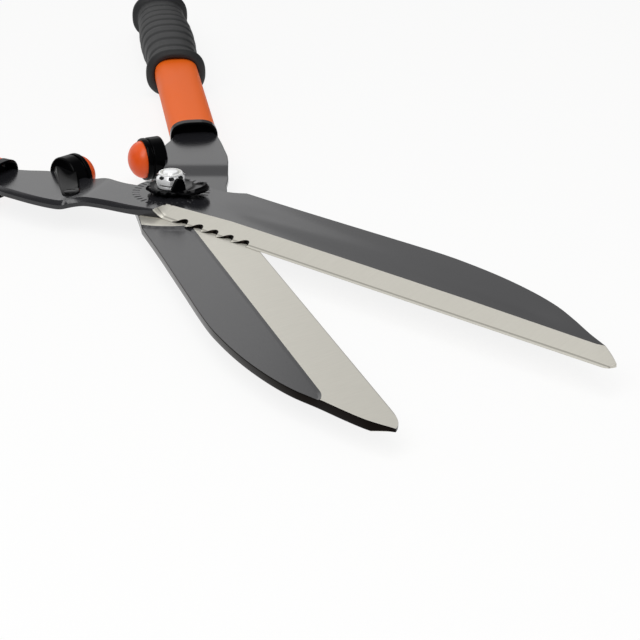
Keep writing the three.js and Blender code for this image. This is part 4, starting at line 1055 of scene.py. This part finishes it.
# Tab turned up against the nut: a rounded tongue, its thickness eased at the edges.
def tabSurface():
    half, height, top, root = lock["tabHalfWidth"], lock["tabHeight"], lock["tabTopWidth"], -lock["tabRoot"]
    corners = [[half, root], [half, 1.5], [top, height - 0.8], [-top * 0.3, height], [-half, 1],
               [-half, root]]
    base = np.array([[-half, root], [half, root]])
    ring = np.vstack([denser(eased(corners, 1.2), 0.4), denser(base, 0.4)])
    ways, centre = inwardWays(ring), np.array([0, height / 2])
    # Inset and depth of each ring from one face to the other; the first and last are the faces' middles
    rows = [(None, 0.0), (0.7, 0.0), (0.45, 0.0), (0.2, 0.08), (0.06, 0.22), (0, 0.45)]
    rows += [(inset, lock["thickness"] - depth) for inset, depth in rows[::-1]]
    layers = []
    for inset, depth in rows:
        plan = ring * 0 + centre if inset is None else ring + ways * inset
        layers.append(np.column_stack([plan[:, 0] * 0 + pivot["hexHalf"] + 0.2 + depth, plan[:, 0],
                                       lockTop + plan[:, 1]]))
    points, triangles = gridSurface(np.stack(layers))
    cos, sin = math.cos(pivot["nutTurn"]), math.sin(pivot["nutTurn"])
    x, y, z = points.T
    return np.column_stack([x * cos - y * sin, x * sin + y * cos, z]), triangles


boltWasher, nutWasher = (
    washerSurface(pivot[key + "Radius"], low + shears["slideGap"], pivot[key + "Thickness"])
    for key, low in (("washer", headLow + pivot["headHeight"]), ("nutWasher", lockTop)))
lockPlate = closedParts(lockSurface(), tabSurface())
pivotPieces = (
    ("pivotBolt", boltSurface(), "zincPlatedSteel", "zinc_steel", "pivot_bolt"),
    ("boltWasher", boltWasher, "zincPlatedSteel", "zinc_steel", "bolt_washer"),
    ("nutWasher", nutWasher, "zincPlatedSteel", "zinc_steel", "nut_washer"),
    ("pivotNut", nutSurface(), "zincPlatedSteel", "zinc_steel", "pivot_nut"),
    ("nutInsert", insertSurface(), "mouldedNylon", "nylon", "nut_insert"),
    ("lockPlate", lockPlate, "blackLacqueredSteel", "black_steel", "lock_plate"),
)
for name, (points, triangles), look, slotName, node in pivotPieces:
    # The nut's painted shade: dark reflections on the dents and the shadow on its chamfer
    marks = dict(paintedShade=nutPaintedShade(points, triangles).astype(float)) if name == "pivotNut" else None
    makePiece(name, (inPart(points, 1), triangles), "upper_half", finish[look], [node], 25, marks)
print("stage: pivot")

# Floor: pale, and pale to the camera wherever no shadow falls
studio = dict(floorColour="#f6f6f4", floorSize=8.0, floorDrop=0.0002, floorPlain=0.85, worldStrength=0.42,
              glowFrom=(182, 38), glowReach=(18, 56), glowLevel=0.86, dimSide=0.2)


def makeFloor():
    half, z = studio["floorSize"] / 2, cadLow.z - studio["floorDrop"]
    mesh = bpy.data.meshes.new("floor")
    corners = [(x * half, y * half, z) for x, y in ((-1, -1), (1, -1), (1, 1), (-1, 1))]
    mesh.from_pydata(corners, [], [(0, 1, 2, 3)])
    floor = addObject("floor", mesh)
    material, tree = newMaterial("paleFloor")
    paint = addNode(tree, "ShaderNodeBsdfDiffuse", Color=toLinear(studio["floorColour"]))
    white = addNode(tree, "ShaderNodeEmission", Color=(1, 1, 1, 1), Strength=1.0)
    path = addNode(tree, "ShaderNodeLightPath")
    seen = path.outputs["Is Camera Ray"]
    for kind in ("Is Glossy Ray", "Is Transmission Ray"):
        seen = addNode(tree, "ShaderNodeMath", dict(operation="MAXIMUM"), i0=seen, i1=path.outputs[kind])
    share = addNode(tree, "ShaderNodeMath", dict(operation="MULTIPLY"), i0=seen, i1=studio["floorPlain"])
    mixed = addNode(tree, "ShaderNodeMixShader", i0=share, i1=paint, i2=white)
    addNode(tree, "ShaderNodeOutputMaterial", Surface=mixed)
    mesh.materials.append(material)


# From angles in degrees to the way they point.
def wayTowards(azimuth, elevation):
    azimuth, elevation = math.radians(azimuth), math.radians(elevation)
    level = math.cos(elevation)
    return Vector((math.cos(azimuth) * level, math.sin(azimuth) * level, math.sin(elevation)))


# Diffuse light comes evenly from all round. In reflections the room is pale on one side, about the way
# glowFrom, and dim on the other, as in a studio with one big white screen.
def makeWorld():
    world = bpy.data.worlds.new("studioWorld")
    bpy.context.scene.world = world
    world.use_nodes = True
    tree = world.node_tree
    tree.nodes.clear()
    seen = addNode(tree, "ShaderNodeTexCoord").outputs["Generated"]
    near = addNode(tree, "ShaderNodeVectorMath", dict(operation="DOT_PRODUCT"), i0=seen,
                   i1=wayTowards(*studio["glowFrom"])).outputs["Value"]
    inner, outer = (math.cos(math.radians(angle)) for angle in studio["glowReach"])
    fade = addNode(tree, "ShaderNodeMapRange", dict(interpolation_type="SMOOTHSTEP"), Value=near,
                   From_Min=outer, From_Max=inner, To_Min=studio["dimSide"], To_Max=studio["glowLevel"])
    path = addNode(tree, "ShaderNodeLightPath")
    mirrored = addNode(tree, "ShaderNodeMath", dict(operation="MAXIMUM"), i0=path.outputs["Is Glossy Ray"],
                       i1=path.outputs["Is Transmission Ray"])
    level = addNode(tree, "ShaderNodeMix", i0=mirrored, i2=studio["worldStrength"], i3=fade)
    level = addNode(tree, "ShaderNodeMix", i0=path.outputs["Is Camera Ray"], i2=level, i3=1.0)
    light = addNode(tree, "ShaderNodeBackground", Color=(1, 1, 1, 1), Strength=level)
    addNode(tree, "ShaderNodeOutputWorld", Surface=light)


# Soft boxes: place, width and height in metres, power in watts, each aimed at the pivot region
lamps = dict(
    topBox=((0.35, -0.2, 1.3), (0.7, 0.7), 5.0),
    frontBox=((0.55, -0.75, 0.95), (0.65, 0.65), 5.8),
    leftBox=((-0.75, -0.75, 0.7), (0.4, 0.5), 0.4),
    backBox=((-1.42, 0.47, 0.66), (0.9, 0.6), 0.9),
)
lampAim = Vector((0.05, 0, 0.01))


def makeLamps():
    for name, (place, size, power) in lamps.items():
        light = bpy.data.lights.new(name, "AREA")
        light.shape, light.size, light.size_y, light.energy = "RECTANGLE", *size, power
        lamp = addObject(name, light)
        lamp.location = place
        lamp.rotation_mode = "QUATERNION"
        lamp.rotation_quaternion = (lampAim - Vector(place)).to_track_quat("-Z", "Y")
        lamp.visible_camera = False


# Camera: the photograph's place, from the pivot's pixel in the 640 by 640 frame
view = dict(imageSize=640, focalPixels=2200.09, azimuth=56.184, elevation=24.024, distance=1.03507,
            pivotPixel=(171.47, 199.81), sensorWidth=36, nearest=0.05, farthest=50)


def makeCamera():
    back = wayTowards(view["azimuth"] - 90, view["elevation"])
    right = wayTowards(view["azimuth"], 0)
    up = back.cross(right)
    metresPerPixel = view["distance"] / view["focalPixels"]
    half = view["imageSize"] / 2
    place = Vector((0, 0, shears["matingHeight"] * metresPerMillimetre))
    place += right * (half - view["pivotPixel"][0]) * metresPerPixel
    place += up * (view["pivotPixel"][1] - half) * metresPerPixel + back * view["distance"]
    data = bpy.data.cameras.new("camera")
    data.sensor_width = view["sensorWidth"]
    data.lens = view["focalPixels"] / view["imageSize"] * view["sensorWidth"]
    data.clip_start, data.clip_end = view["nearest"], view["farthest"]
    camera = addObject("camera", data)
    camera.matrix_world = Matrix((right, up, back)).transposed().to_4x4()
    camera.location = place
    bpy.context.scene.camera = camera


makeFloor()
makeWorld()
makeLamps()
makeCamera()
bpy.context.scene.view_settings.view_transform = "Standard"
print("stage: studio")
